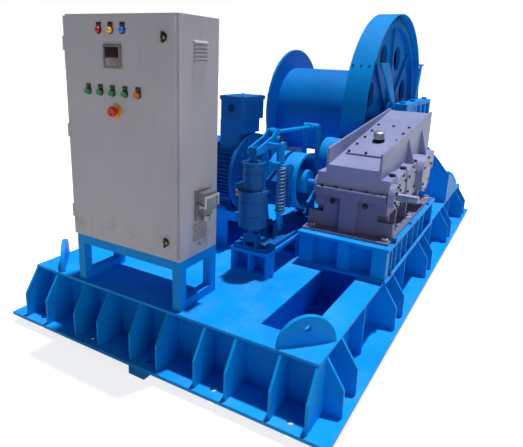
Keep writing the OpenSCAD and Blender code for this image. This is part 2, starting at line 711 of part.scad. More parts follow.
module coupling_pins(xs, r) for (i = [0 : pin_n - 1])
  translate([0, input_y, shaft_z]) rotate([i * 360 / pin_n, 0, 0])
    rod_x(xs, coupling_r - 2.5 * pin_r, 0, r);
module terminal_box() color(blue) {
  c = tbox_cut;
  outline = [[tbox_x[0], tbox_y[0] + c], [tbox_x[0] + c, tbox_y[0]],
    [tbox_x[1] - c, tbox_y[0]], [tbox_x[1], tbox_y[0] + c], [tbox_x[1], tbox_y[1] - c],
    [tbox_x[1] - c, tbox_y[1]], [tbox_x[0] + c, tbox_y[1]], [tbox_x[0], tbox_y[1] - c]];
  w = [tbox_x[0] + tbox_x[1], tbox_y[0] + tbox_y[1]] / 2;
  entry_z = tbox_z[0] + entry_r * 3;
  difference() {
    union() {
      plate_z([tbox_z[0], tbox_z[1] - tbox_lid], outline);
      rod_y(w[0], [tbox_y[0] - fin_t, tbox_y[0]], entry_z, entry_r * 1.2);
    }
    rod_y(w[0], [tbox_y[0] - fin_t - over, tbox_y[0] + shield_t], entry_z, entry_r);
  }
  plate_z([tbox_z[1] - tbox_lid, tbox_z[1]], [for (p = outline) w + (p - w) * 1.07]);
  for (x = [w[0] - 3 * c, w[0] + 3 * c]) for (y = [w[1] - 5 * c, w[1] + 5 * c])
    translate([x, y, tbox_z[1]]) cylinder(h = fin_t, r = 2 * fin_t, $fn = 6);
}

// drum brake
brake_x = 180;
table_x = [72, 285];
table_y = [input_y - 467, input_y + 335];
table_h = 137;
table_z = deck_z + table_h;
table_t = 18;
table_foot_t = 15;
stand_d = 84;
brake_base_hx = 95;
brake_base_z = table_z + 20;
base_bolt_x = 78;
base_bolt_y = 330;
arm_x = 42;
arm_t = 14;
arm_w = 44;
arm_pivot_z = shaft_z - 213;
arm_reach = 210;
arm_pin_r = 12;
arm_bow = 240;
arm_knees = [110, 100];
arm_top_z = shaft_z + 262;
near_top_y = input_y - 265;
far_top_y = input_y + 235;
far_top_z = shaft_z + 277;
tie_y = near_top_y + 15;
tie_z = arm_top_z + 36;
tie_r = 11;
tie_pin_r = 9;
lift_y = input_y - 438;
lift_z = shaft_z + 227;
lever_x = 24;
lever_plate_t = 10;
shoe_span = 38;
shoe_w = 140;
shoe_pin_r = 11;
thr_low_z = [shaft_z - 152, shaft_z + 28];
thr_up_z = [shaft_z + 28, shaft_z + 173];
thr_pin_z = brake_base_z + 45;
thr_low_r = 72;
thr_up_r = 53;
thr_rod_r = 14;
ear_x = 33;
ear_t = 12;
ear_hy = 22;
ear_up = 26;
spring_x = brake_x + 112;
spring_y = input_y - 356;
spring_z = [shaft_z - 73, shaft_z + 157];
cap_t = 8;
spring_pin_z = arm_top_z - cap_t;
spring_rod_r = 9;
function arm_line(s, top_y, top_z) = [[input_y + s * arm_reach, arm_pivot_z],
  [input_y + s * arm_bow, arm_pivot_z + arm_knees[0]], [input_y + s * arm_bow, shaft_z + arm_knees[1]],
  [top_y, top_z]];

module brake_pedestal() color(blue) {
  block(table_x, table_y, [table_z - table_t, table_z]);
  zs = [deck_z + table_foot_t, table_z - table_t];
  mid = (table_y[0] + table_y[1] - stand_d) / 2;
  for (k = [0, 1, 2]) {
    y = [table_y[0] + web_t / 2, mid, table_y[1] - web_t / 2 - stand_d][k];
    back = k == 2 ? y : y + stand_d - web_t;
    block(table_x, [y, y + stand_d], [deck_z, deck_z + table_foot_t]);
    block(table_x, [back, back + web_t], zs);
    for (x = [table_x[0], brake_x - web_t / 2, table_x[1] - web_t])
      block([x, x + web_t], [k == 2 ? y + web_t : y, k == 2 ? y + stand_d : back], zs);
  }
}
module brake_base() color(dark_blue) {
  x = [brake_x - brake_base_hx, brake_x + brake_base_hx];
  lx = arm_x - arm_t - slide_gap;
  lh = arm_pivot_z - brake_base_z + arm_pin_r * 1.5;
  difference() {
    union() {
      block(x, [table_y[0] + web_t / 2, table_y[1] - 3 * web_t], [table_z, brake_base_z]);
      for (s = [-1, 1]) for (k = [-1, 1])
        plate_x([brake_x + k * lx - arm_t / 2, brake_x + k * lx + arm_t / 2],
          [for (p = [[-2, 0], [2, 0], [1.3, 1], [-1.3, 1]])
          [input_y + s * arm_reach + p[0] * arm_w / 2, brake_base_z + p[1] * lh]]);
      for (k = [-1, 1]) block([brake_x + k * ear_x - ear_t / 2, brake_x + k * ear_x + ear_t / 2],
        [lift_y - ear_hy, lift_y + ear_hy], [brake_base_z, thr_pin_z + ear_up]);
    }
    rod_x([x[0], x[1]], lift_y, thr_pin_z, arm_pin_r / 2 + run_gap);
    for (s = [-1, 1]) rod_x([x[0], x[1]], input_y + s * arm_reach, arm_pivot_z, arm_pin_r);
  }
  for (s = [-1, 1]) rod_x([brake_x - arm_x - arm_t, brake_x + arm_x + arm_t],
    input_y + s * arm_reach, arm_pivot_z, arm_pin_r);
  for (sx = [-1, 1]) for (sy = [-1, 1])
    bolt_z(brake_x + sx * base_bolt_x, (table_y[0] + table_y[1]) / 2 + sy * base_bolt_y, brake_base_z, pin_r, 0);
}
module arm_plates(s, top_y, top_z) {
  l = arm_line(s, top_y, top_z);
  w = arm_w / 2;
  for (k = [-1, 1]) {
    xs = [brake_x + k * arm_x - arm_t / 2, brake_x + k * arm_x + arm_t / 2];
    difference() {
      union() {
        plate_x(xs, [for (p = l) p + [-w, 0], for (i = [3 : -1 : 0]) l[i] + [w, 0]]);
        rod_x(xs, l[0][0], l[0][1], w);
        rod_x(xs, l[3][0], l[3][1], w);
      }
      rod_x([xs[0] - over, xs[1] + over], l[0][0], l[0][1], arm_pin_r + run_gap);
      rod_x([xs[0] - over, xs[1] + over], input_y + s * arm_bow, shaft_z, shoe_pin_r + run_gap);
    }
  }
}
module near_arm() color(dark_blue) {
  difference() {
    arm_plates(-1, near_top_y, arm_top_z);
    rod_x([brake_x - arm_x - arm_t, brake_x + arm_x + arm_t], near_top_y, arm_top_z, arm_pin_r);
  }
  rod_x([brake_x - arm_x - arm_t, brake_x + arm_x + arm_t], near_top_y, arm_top_z, arm_pin_r);
  x0 = brake_x + arm_x + arm_t / 2;
  difference() {
    block([x0, spring_x + spring_r + free_gap], [spring_y - spring_r - free_gap, spring_y + spring_r + free_gap],
      [spring_z[1], spring_z[1] + cap_t]);
    rod_z(spring_x, spring_y, [spring_z[1] - over, spring_z[1] + cap_t + over], spring_rod_r + free_gap);
  }
  block([x0, x0 + cap_t], [spring_y - spring_r - free_gap, input_y - arm_bow + arm_w / 2],
    [spring_z[1] - 5 * cap_t, spring_z[1]]);
}
module far_arm() color(dark_blue) {
  arm_plates(1, far_top_y, far_top_z);
  hx = arm_x - arm_t / 2;
  difference() {
    rod_x([brake_x - hx, brake_x + hx], far_top_y, far_top_z, 2 * tie_r);
    rod_y(brake_x, [far_top_y - 3 * tie_r, far_top_y + 3 * tie_r], far_top_z, tie_r + free_gap);
  }
}
module shoe(s) {
  y = input_y + s * arm_bow;
  hw = shoe_w / 2;
  far = 2 * brake_r;
  translate([brake_x - hw, input_y, shaft_z]) rotate([90, 0, 90]) linear_extrude(shoe_w)
    intersection() {
      difference() {
        circle(r = brake_r + shoe_t, $fn = 96);
        circle(r = brake_r + slide_gap, $fn = 96);
      }
      polygon([[0, 0], [s * far, -far * tan(shoe_span)], [s * far, far * tan(shoe_span)]]);
    }
  hx = arm_x - arm_t / 2 - slide_gap;
  difference() {
    plate_x([brake_x - hx, brake_x + hx], [for (p = [[0.8, -0.45], [1.26, -0.2], [1.26, 0.2], [0.8, 0.45]])
      [input_y + s * (brake_r + shoe_t) * p[0], shaft_z + (brake_r + shoe_t) * p[1]]]);
    rod_x([brake_x - shoe_w, brake_x + shoe_w], input_y, shaft_z, brake_r + shoe_t / 2);
  }
  rod_x([brake_x - arm_x - arm_t, brake_x + arm_x + arm_t], y, shaft_z, shoe_pin_r);
}
module near_shoe() color(dark_blue) shoe(-1);
module far_shoe() color(dark_blue) shoe(1);
rim_t = 18;
drum_hub_r = 68;
drum_hub_out = 16;
module brake_drum() color(steel) {
  x0 = brake_x - brake_w / 2;
  x1 = brake_x + brake_w / 2;
  cx0 = coupling_x + half_gap / 2;
  difference() {
    union() {
      difference() {
        rod_x([x0, x1], input_y, shaft_z, brake_r, $fn = 96);
        rod_x([x0 + rim_t, x1 + over], input_y, shaft_z, brake_r - rim_t);
      }
      rod_x([cx0, x1 + drum_hub_out], input_y, shaft_z, drum_hub_r);
      rod_x([cx0, cx0 + coupling_t], input_y, shaft_z, coupling_r);
    }
    rod_x([cx0 - over, x1 + drum_hub_out + over], input_y, shaft_z, in_shaft_r);
  }
  coupling_pins([cx0 - coupling_t, cx0 + over], pin_r);
}
module brake_lever() color(blue) {
  w = arm_w / 2;
  for (k = [-1, 1]) {
    xs = [brake_x + k * lever_x - lever_plate_t / 2, brake_x + k * lever_x + lever_plate_t / 2];
    difference() {
      plate_x(xs, [[lift_y - w, lift_z - w * 0.7], [lift_y - w, lift_z + w * 0.6],
        [near_top_y - 2 * w, arm_top_z + w], [tie_y - w, tie_z + w * 0.8], [tie_y + w * 0.8, tie_z + w * 0.8],
        [near_top_y + w * 1.2, arm_top_z - w * 0.6], [near_top_y + w * 0.3, arm_top_z - w], [lift_y + w, lift_z - w * 0.7]]);
      rod_x([xs[0] - over, xs[1] + over], near_top_y, arm_top_z, arm_pin_r + run_gap);
    }
  }
  rod_x([brake_x - lever_x, brake_x + lever_x], tie_y, tie_z, tie_pin_r);
  rod_x([brake_x - lever_x, brake_x + lever_x], lift_y, lift_z, tie_pin_r);
  rod_x([brake_x + lever_x, spring_x + spring_rod_r], spring_y, spring_pin_z, tie_pin_r);
}
module tie_rod() color(steel) {
  a = atan2(far_top_z - tie_z, far_top_y - tie_y);
  l = norm([far_top_z - tie_z, far_top_y - tie_y]);
  translate([brake_x, tie_y, tie_z]) rotate([a, 0, 0]) difference() {
    union() {
      rod_x([-lever_x + lever_plate_t, lever_x - lever_plate_t], 0, 0, 2 * tie_r);
      rod_y(0, [tie_r, l + 5 * tie_r], 0, tie_r);
      for (y = [l + 3 * tie_r, l - 4 * tie_r])
        translate([0, y, 0]) rotate([-90, 0, 0]) cylinder(h = tie_r, r = 2 * tie_r, $fn = 6);
    }
    rod_x([-lever_x, lever_x], 0, 0, tie_pin_r + run_gap);
  }
}
jbox_x = [brake_x - 81, brake_x - 20];
jbox_z = [shaft_z - 12, shaft_z + 59];
jbox_w = 64;
lip_t = 12;
lip_out = 6;
tongue_hx = 26;
neck_hx = 14;
tongue_low = 20;
fork_h = 24;
module thruster_body() color("#1d4a55") {
  y = lift_y;
  difference() {
    union() {
      rod_z(brake_x, y, thr_low_z, thr_low_r);
      rod_z(brake_x, y, thr_up_z, thr_up_r);
      rod_z(brake_x, y, [thr_low_z[0] - lip_t, thr_low_z[0]], thr_up_r);
      block([brake_x - tongue_hx, brake_x + tongue_hx], [y - tongue_low, y + tongue_low],
        [thr_pin_z - tongue_low, thr_pin_z + ear_up]);
      block([brake_x - neck_hx, brake_x + neck_hx], [y - tongue_low, y + tongue_low],
        [thr_pin_z, thr_low_z[0]]);
      block(jbox_x, [y - jbox_w / 2, y + jbox_w / 2], jbox_z);
      rod_z(brake_x, y, [thr_up_z[1] - lip_t, thr_up_z[1]], thr_up_r + lip_out);
      rod_z(brake_x, y, [thr_up_z[0] - lip_out, thr_up_z[0] + lip_out], thr_low_r + lip_out);
    }
    rod_z(brake_x, y, [thr_up_z[1] - stroke - 2 * fork_h, thr_up_z[1] + over], thr_rod_r + run_gap);
    rod_x([brake_x - jbox_w, brake_x + jbox_w], y, thr_pin_z, arm_pin_r / 2);
  }
  rod_x([brake_x - ear_x - ear_t, brake_x + ear_x + ear_t], y, thr_pin_z, arm_pin_r / 2);
}
module thruster_rod() color(silver) {
  hx = lever_x - lever_plate_t;
  difference() {
    union() {
      rod_z(brake_x, lift_y, [thr_up_z[1] - 1.6 * fork_h, lift_z - fork_h], thr_rod_r);
      block([brake_x - hx, brake_x + hx], [lift_y - 1.25 * fork_h, lift_y + 1.25 * fork_h],
        [lift_z - fork_h, lift_z + tongue_low]);
    }
    for (k = [-0.5, 0, 0.5]) rod_x([brake_x - 2 * hx, brake_x + 2 * hx], lift_y + k * fork_h, lift_z, tie_pin_r + free_gap);
    block([brake_x - 2 * hx, brake_x + 2 * hx], [lift_y - fork_h / 2, lift_y + fork_h / 2],
      [lift_z - tie_pin_r - free_gap, lift_z + tie_pin_r + free_gap]);
  }
}
// coil spring as one tube of small triangles, its ends straight and square on their plates
coils = 9;
curl_rings = 8;
wire_sides = 6;
module brake_spring() color(steel) {
  mean_r = spring_r - wire_r;
  low = spring_z[0];
  top = spring_z[1];
  n = coils * curl_rings;
  z0 = low + 4 * wire_r;
  z1 = top - 4 * wire_r;
  step = 360 / curl_rings;
  slope = atan2(z1 - z0, 2 * PI * mean_r * coils);
  // each ring: turn angle, height, tilt of the wire
  path = concat([[0, low, 90], [0, low + 2 * wire_r, 90], [step / 3, low + 3.4 * wire_r, 45]],
    [for (i = [0 : n]) [step + i * step, z0 + (z1 - z0) * i / n, slope]],
    [[n * step + 5 / 3 * step, top - 3.4 * wire_r, 45], [n * step + 2 * step, top - 2 * wire_r, 90],
    [n * step + 2 * step, top, 90]]);
  last = len(path) - 1;
  centres = [for (q = path) [mean_r * cos(q[0]), mean_r * sin(q[0]), q[1]]];
  echo(least_coil_gap = min([for (i = [0 : last]) for (j = [i + 5 : 1 : min(last, i + 12)])
    norm(centres[i] - centres[j])]) - 2 * wire_r);
  m = wire_sides;
  points = [for (i = [0 : last]) for (k = [0 : m - 1]) let (a = path[i][0], t = path[i][2], b = k * 360 / m,
    rr = mean_r + wire_r * cos(b), side = wire_r * sin(b) * sin(t), up = -wire_r * sin(b) * cos(t))
    [rr * cos(a) - side * sin(a), rr * sin(a) + side * cos(a), path[i][1] + up]];
  faces = concat(
    [for (i = [0 : last - 1]) for (k = [0 : m - 1]) [i * m + k, (i + 1) * m + k, i * m + (k + 1) % m]],
    [for (i = [0 : last - 1]) for (k = [0 : m - 1])
      [i * m + (k + 1) % m, (i + 1) * m + k, (i + 1) * m + (k + 1) % m]],
    [for (k = [1 : m - 2]) [0, k, k + 1]],
    [for (k = [1 : m - 2]) [last * m, last * m + k + 1, last * m + k]]);
  translate([spring_x, spring_y, 0]) polyhedron(points = points, faces = faces);
}
module spring_rod() color(steel) {
  rod_z(spring_x, spring_y, [spring_z[0] - 4 * cap_t, spring_pin_z - tie_pin_r - 2 * free_gap], spring_rod_r);
  rod_z(spring_x, spring_y, [spring_z[0] - cap_t, spring_z[0]], spring_r + free_gap);
  translate([spring_x, spring_y, spring_z[0] - 2.2 * cap_t]) cylinder(h = 1.2 * cap_t, r = 2 * spring_rod_r, $fn = 6);
  difference() {
    rod_x([spring_x - spring_rod_r, spring_x + spring_rod_r], spring_y, spring_pin_z, tie_pin_r + 3 * free_gap);
    rod_x([spring_x - 2 * spring_rod_r, spring_x + 2 * spring_rod_r], spring_y, spring_pin_z, tie_pin_r + free_gap);
  }
}

// gearbox
ped_x = [310, 812];
ped_y = [input_y - 170, input_y + 998];
ped_h = 184;
ped_z = deck_z + ped_h;
ped_t = 17;
ped_foot_t = 15;
ped_edge = 10;
post_w = 76;
recess = 55;
side_recess = 52;
centre_x = [540, 601];
inner_ribs = [380, 760];
stiff_y = [115, 201, 310, 437, 583, 733, 872];
stop_y = [147, 485, 967];
stop_l = [26, 16, 16];
stop_h = 14;
flange_hx = 238;
flange_y = [input_y - 120, input_y + 970];
flange_t = 12;
hous_y = [input_y - 47, output_y + 425];
hous_low_y1 = output_y + 270;
floor_z = ped_z + flange_t;
bolt_in = 33;
flange_rows = [flange_y[0] + 53, (flange_y[0] + flange_y[1]) / 2, flange_y[1] - bolt_in];
low_band_hx = 235;
low_band_h = 83;
low_band_d = 40;
rib_x = [box_x - 47, box_x + 45];
bar_out = 28;
split_hx = 191;
split_t = 40;
split_up = 8;
bore_r = [36, 52, 66, 85];
seat_r = [22.5, 30, 36, 45];
cover_r = [62.5, 90, 100, 115];
in_shaft_r = 20;
ring_w = 36;
ring_in = 4;
shaft_ys = [input_y, second_y, third_y, output_y];
cover_t = 12;
stub_boss_t = 31;
out_boss_t = 40;
spigot_l = 10;
roof_y = [hous_y[0], hous_y[1]];
roof_z = [shaft_z + 127, shaft_z + 336];
rail_z = [shaft_z + 216, shaft_z + 349];
boss_top = 83;
boss_low = 104;
boss_y = [input_y - 62, hous_y[1]];
boss_rear = 100;
rib_y = [third_y + 89, output_y + 155];
rib_apex = [shaft_z + 240, shaft_z + 260];
cover_y = [input_y + 135, output_y + 25];
roof_slope = (roof_z[1] - roof_z[0]) / (roof_y[1] - roof_y[0]);
roof_angle = atan(roof_slope);
function roof_at(y) = roof_z[0] + (y - roof_y[0]) * roof_slope;

module gearbox_pedestal() color(blue) {
  xs = [ped_x[0] + ped_edge, ped_x[1] - ped_edge];
  ys = [ped_y[0] + ped_edge, ped_y[1] - ped_edge];
  zs = [deck_z + ped_foot_t, ped_z - ped_t];
  web_y0 = ys[0] + recess;
  web_x1 = xs[1] - side_recess;
  block(ped_x, ped_y, [ped_z - ped_t, ped_z]);
  block(ped_x, ped_y, [deck_z, deck_z + ped_foot_t]);
  block([xs[0], web_x1], [web_y0, web_y0 + web_t], zs);
  block([xs[0], web_x1], [ys[1] - web_t, ys[1]], zs);
  for (x = [xs[0], web_x1 - web_t]) block([x, x + web_t], [web_y0 + web_t, ys[1] - web_t], zs);
  for (y = inner_ribs) block([xs[0] + web_t, web_x1 - web_t], [ped_y[0] + y, ped_y[0] + y + web_t], zs);
  for (x = [xs[0], xs[1] - post_w]) block([x, x + post_w], [ys[0], web_y0], zs);
  block(centre_x, [ys[0] + web_t / 2, web_y0], zs);
  for (y = stiff_y) block([web_x1, xs[1]], [ped_y[0] + y, ped_y[0] + y + web_t], zs);
  block([web_x1, xs[1]], [ys[1] - web_t, ys[1]], zs);
  for (i = [0 : 2]) block([ped_x[1] - stop_l[2] - over, ped_x[1] - over],
    [ped_y[0] + stop_y[i] - stop_l[i] / 2, ped_y[0] + stop_y[i] + stop_l[i] / 2], [ped_z, ped_z + stop_h]);
}
module shaft_bores(xs) for (i = [0 : 3]) rod_x(xs, shaft_ys[i], shaft_z, bore_r[i]);
// round bosses about the shafts, kept to one side of the split
module boss_rounds(zs) intersection() {
  union() for (i = [0 : 3]) rod_x([box_x - boss_hx, box_x + boss_hx], shaft_ys[i], shaft_z, cover_r[i]);
  block([box_x - 2 * boss_hx, box_x + 2 * boss_hx], [hous_y[0], hous_y[1]], zs);
}
split_in = 82;
bolt_row_y = [second_y - split_in, third_y - split_in, output_y - 1.3 * split_in, output_y + 1.55 * split_in];
bolt_hx = 176;
split_bolt_r = 10;
module bolt_row(z, r, l) for (y = bolt_row_y) for (s = [-1, 1])
  rod_z(box_x + s * bolt_hx, y, [z - l / 2, z + l / 2], r);
function lower_shape(t) = [[hous_y[0] + t, ped_z + t], [hous_low_y1 - t, ped_z + t],
  [hous_y[1] - 1.3 * t, shaft_z + (t > 0 ? over : 0)], [hous_y[0] + t, shaft_z + (t > 0 ? over : 0)]];
module lower_housing() color(mauve) difference() {
  union() {
    block([box_x - flange_hx, box_x + flange_hx], flange_y, [ped_z, floor_z]);
    plate_x([box_x - wall_hx, box_x + wall_hx], lower_shape(0));
    block([box_x - low_band_hx, box_x + low_band_hx], [hous_y[0], hous_y[0] + low_band_d],
      [floor_z, floor_z + low_band_h]);
    block([box_x - split_hx, box_x + split_hx], [hous_y[0] - bar_out, hous_y[0]], [shaft_z - split_t, shaft_z]);
    block([box_x - boss_hx, box_x + boss_hx], [hous_y[0], boss_y[1]], [shaft_z - split_t, shaft_z]);
    block([box_x - boss_hx, box_x + boss_hx], [hous_y[0], output_y + boss_rear],
      [shaft_z - boss_low, shaft_z]);
    boss_rounds([shaft_z - 2 * boss_low, shaft_z]);
    block(rib_x, [hous_y[0] - bar_out, hous_y[0]], [floor_z, shaft_z - split_t]);
    for (y = shaft_ys) for (s = [-1, 1])
      block([s > 0 ? box_x + wall_hx : box_x - boss_hx, s > 0 ? box_x + boss_hx : box_x - wall_hx],
        [y - wall_t, y + wall_t], [floor_z, shaft_z - boss_low]);
  }
  plate_x([box_x - cavity_hx, box_x + cavity_hx], lower_shape(wall_t));
  shaft_bores([box_x - boss_hx - over, box_x + boss_hx + over]);
  bolt_row(shaft_z, split_bolt_r, 3 * boss_low);
  flange_bolts(ped_z - over, floor_z + over, split_bolt_r);
}
module flange_bolts(z0, z1, r) for (y = flange_rows)
  for (s = [-1, 1]) rod_z(box_x + s * (flange_hx - bolt_in), y, [z0, z1], r);
cover_edge = 40;
module upper_housing() color(mauve) difference() {
  union() {
    block([box_x - split_hx, box_x + split_hx], [hous_y[0] - bar_out, hous_y[0]], [shaft_z, shaft_z + split_up]);
    block([box_x - boss_hx, box_x + boss_hx], [hous_y[0], boss_y[1]], [shaft_z, shaft_z + boss_top]);
    boss_rounds([shaft_z, shaft_z + 2 * boss_top]);
    plate_x([box_x - wall_hx, box_x + wall_hx], [[roof_y[0], shaft_z], [roof_y[1], shaft_z],
      roof_p(1), roof_p(0)]);
    for (s = [-1, 1]) plate_x([s > 0 ? box_x + cavity_hx : box_x - wall_hx,
      s > 0 ? box_x + wall_hx : box_x - cavity_hx],
      [[roof_y[0], shaft_z], [roof_y[1], shaft_z], [roof_y[1], rail_z[1]], [roof_y[0], rail_z[0]]]);
    for (i = [0, 1]) for (s = [-1, 1]) plate_y([rib_y[i] - wall_t / 2, rib_y[i] + wall_t / 2],
      [[box_x + s * (wall_hx - over), shaft_z + boss_top - over],
      [box_x + s * boss_hx, shaft_z + boss_top - over], [box_x + s * (wall_hx - over), rib_apex[i]]]);
  }
  plate_x([box_x - cavity_hx, box_x + cavity_hx], [[roof_y[0] + wall_t, shaft_z - over],
    [roof_y[1] - wall_t, shaft_z - over], [roof_y[1] - wall_t, roof_at(roof_y[1] - wall_t) - wall_t],
    [roof_y[0] + wall_t, roof_at(roof_y[0] + wall_t) - wall_t]]);
  plate_x([box_x - cover_hx + cover_edge, box_x + cover_hx - cover_edge],
    [[cover_y[0] + cover_edge, roof_at(cover_y[0]) - 3 * wall_t],
    [cover_y[1] - cover_edge, roof_at(cover_y[1]) - 3 * wall_t], [cover_y[1] - cover_edge, roof_at(cover_y[1]) + wall_t],
    [cover_y[0] + cover_edge, roof_at(cover_y[0]) + 2 * wall_t]]);
  shaft_bores([box_x - boss_hx - over, box_x + boss_hx + over]);
  bolt_row(shaft_z, split_bolt_r, 3 * boss_top);
}
function roof_p(i) = [roof_y[i], roof_z[i]];
cover_hx = 112;
cover_plate_t = 10;
vent_share = 0.43;
vent_r = 24;
screw_in = 14;
screw_h = 5;
screw_r = 8;
module on_roof(y) translate([box_x, y, roof_at(y)]) rotate([roof_angle, 0, 0]) translate([0, 0, slide_gap]) children();
module inspection_cover() color(mauve) {
  l = (cover_y[1] - cover_y[0]) / cos(roof_angle);
  on_roof(cover_y[0]) {
    difference() {
      block([-cover_hx, cover_hx], [0, l], [0, cover_plate_t]);
      rod_z(0, l * vent_share, [-over, cover_plate_t + over], vent_r);
    }
    for (i = [0 : 4]) for (s = [-1, 1]) translate([s * (cover_hx - screw_in),
      screw_in + i * (l - 2 * screw_in) / 4, cover_plate_t]) cylinder(h = screw_h, r = screw_r, $fn = 6);
    for (y = [screw_in, l - screw_in]) translate([0, y, cover_plate_t]) cylinder(h = screw_h, r = screw_r, $fn = 6);
  }
}
module breather() color(silver) {
  l = (cover_y[1] - cover_y[0]) / cos(roof_angle);
  t = cover_plate_t;
  on_roof(cover_y[0]) translate([0, l * vent_share, 0]) {
    cylinder(h = t, r = vent_r);
    translate([0, 0, t]) cylinder(h = vent_r / 3, r = vent_r * 1.5);
    translate([0, 0, t + vent_r / 4]) cylinder(h = vent_r / 2, r = vent_r * 0.8);
    translate([0, 0, t + vent_r * 0.7]) cylinder(h = vent_r * 1.4, r = vent_r * 1.45, $fn = 6);
    translate([0, 0, t + vent_r * 2]) cylinder(h = vent_r / 3, r = vent_r * 1.1);
  }
}
// toothed wheel with straight-sided teeth about X, tooth first at the phase angle
tooth_share = 0.86;
open_share = 0.8;
top_share = 0.85;
root_share = 1.25;
flank = 20;
module gear_x(xs, teeth, m, y, z, phase, share = tooth_share) {
  rp = m * teeth / 2;
  ra = rp + m * top_share;
  rf = rp - m * root_share;
  half = PI * m / 4 * share;
  ha = (half - (ra - rp) * tan(flank)) / ra * 180 / PI;
  hf = (half + (rp - rf) * tan(flank)) / rf * 180 / PI;
  points = [for (i = [0 : teeth - 1]) for (q = [[rf, -hf], [ra, -ha], [ra, ha], [rf, hf]])
    let (a = phase + i * 360 / teeth + q[1]) [q[0] * cos(a), q[0] * sin(a)]];
  translate([xs[0], y, z]) rotate([90, 0, 90]) linear_extrude(xs[1] - xs[0]) polygon(points);
}
journal_x = [box_x - cavity_hx - ring_in - ring_w, box_x + cavity_hx + ring_in + ring_w];
stub_l = 109;
stub_x = [box_x + boss_hx + stub_boss_t + over, box_x + boss_hx + stub_boss_t + stub_l];
module input_shaft() color(silver) {
  rod_x([coupling_x + half_gap / 2, journal_x[0]], input_y, shaft_z, in_shaft_r);
  rod_x([journal_x[0], stub_x[0]], input_y, shaft_z, seat_r[0]);
  rod_x(stub_x, input_y, shaft_z, stub_r);
  gear_x([plane_1[0] - pinion_extra, plane_1[1] + pinion_extra], teeth_1a, mod_1, input_y, shaft_z, 0);
}
module second_shaft() color(silver) {
  rod_x(journal_x, second_y, shaft_z, seat_r[1]);
  gear_x(plane_1, teeth_1b, mod_1, second_y, shaft_z, 180 + 180 / teeth_1b);
  gear_x([plane_2[0] - pinion_extra, plane_2[1] + pinion_extra], teeth_2a, mod_2, second_y, shaft_z, 0);
}
module third_shaft() color(silver) {
  rod_x(journal_x, third_y, shaft_z, seat_r[2]);
  gear_x(plane_2, teeth_2b, mod_2, third_y, shaft_z, 180 + 180 / teeth_2b);
  gear_x([plane_3[0] - pinion_extra, plane_3[1] + pinion_extra], teeth_3a, mod_3, third_y, shaft_z, 0);
}
bull_x = [200, 310];
pinion_over = 5;
out_x0 = 60;
module output_shaft() color(silver) {
  rod_x([out_x0, journal_x[1]], output_y, shaft_z, seat_r[3]);
  rod_x([box_x - cavity_hx + wall_t / 2, box_x + cavity_hx - wall_t / 2], output_y, shaft_z, seat_r[3] + wall_t);
  gear_x(plane_3, teeth_3b, mod_3, output_y, shaft_z, 180 + 180 / teeth_3b);
  gear_x([bull_x[0] - pinion_over, bull_x[1] + pinion_over], teeth_4a, mod_4, output_y, shaft_z, pair_angle, open_share);
}
module shaft_bearings() color(steel) for (i = [0 : 3]) for (s = [-1, 1]) {
  x0 = s > 0 ? box_x + cavity_hx + ring_in : box_x - cavity_hx - ring_in - ring_w;
  mid = (bore_r[i] + seat_r[i]) / 2;
  difference() {
    rod_x([x0, x0 + ring_w], shaft_ys[i], shaft_z, bore_r[i]);
    rod_x([x0 - over, x0 + ring_w + over], shaft_ys[i], shaft_z, seat_r[i] + run_gap);
    for (x = [x0 - over, x0 + ring_w - ring_in]) difference() {
      rod_x([x, x + ring_in + over], shaft_ys[i], shaft_z, mid + ring_in);
      rod_x([x - over, x + ring_in + 2 * over], shaft_ys[i], shaft_z, mid - ring_in);
    }
  }
}
module bearing_covers() color(mauve) for (i = [0 : 3]) for (s = [-1, 1]) {
  t = s < 0 ? cover_t : i == 0 ? stub_boss_t : i == 3 ? out_boss_t : cover_t;
  x0 = s > 0 ? box_x + boss_hx : box_x - boss_hx - t;
  through = i == 0 ? (s > 0 ? seat_r[0] : in_shaft_r) + slide_gap : i == 3 && s < 0 ? seat_r[3] + slide_gap : 0;
  difference() {
    union() {
      rod_x([x0, x0 + t], shaft_ys[i], shaft_z, cover_r[i]);
      rod_x([s > 0 ? x0 - spigot_l : x0 + t, s > 0 ? x0 : x0 + t + spigot_l], shaft_ys[i], shaft_z, bore_r[i]);
    }
    if (through > 0) rod_x([x0 - 2 * cover_t, x0 + t + 2 * cover_t], shaft_ys[i], shaft_z, through);
  }
  for (a = [0 : 5]) translate([x0, shaft_ys[i], shaft_z]) rotate([30 + a * 60, 0, 0])
    translate([s > 0 ? t : -screw_h, cover_r[i] - cover_t, 0]) rotate([0, 90, 0]) cylinder(h = screw_h, r = screw_r, $fn = 6);
}
module gearbox_bolts() color(silver) {
  nut_h = 1.6 * split_bolt_r;
  for (y = bolt_row_y) for (s = [-1, 1]) {
    bolt_z(box_x + s * bolt_hx, y, shaft_z + boss_top, split_bolt_r, boss_top + split_t);
    low = y > output_y ? split_t : boss_low;
    translate([box_x + s * bolt_hx, y, shaft_z - low - nut_h]) cylinder(h = nut_h, r = 1.9 * split_bolt_r, $fn = 6);
    rod_z(box_x + s * bolt_hx, y, [shaft_z - low - nut_h - wall_t / 2, shaft_z - split_t], split_bolt_r);
  }
  for (i = [-2 : 2]) translate([box_x + i * rail_pitch, hous_y[0] - bar_out / 2, shaft_z + split_up])
    cylinder(h = screw_r, r = screw_r, $fn = 6);
  flange_bolts(ped_z, floor_z, split_bolt_r);
  for (y = flange_rows) for (s = [-1, 1])
    translate([box_x + s * (flange_hx - bolt_in), y, floor_z]) cylinder(h = 1.4 * split_bolt_r, r = 2 * split_bolt_r, $fn = 6);
}
rail_pitch = 82;

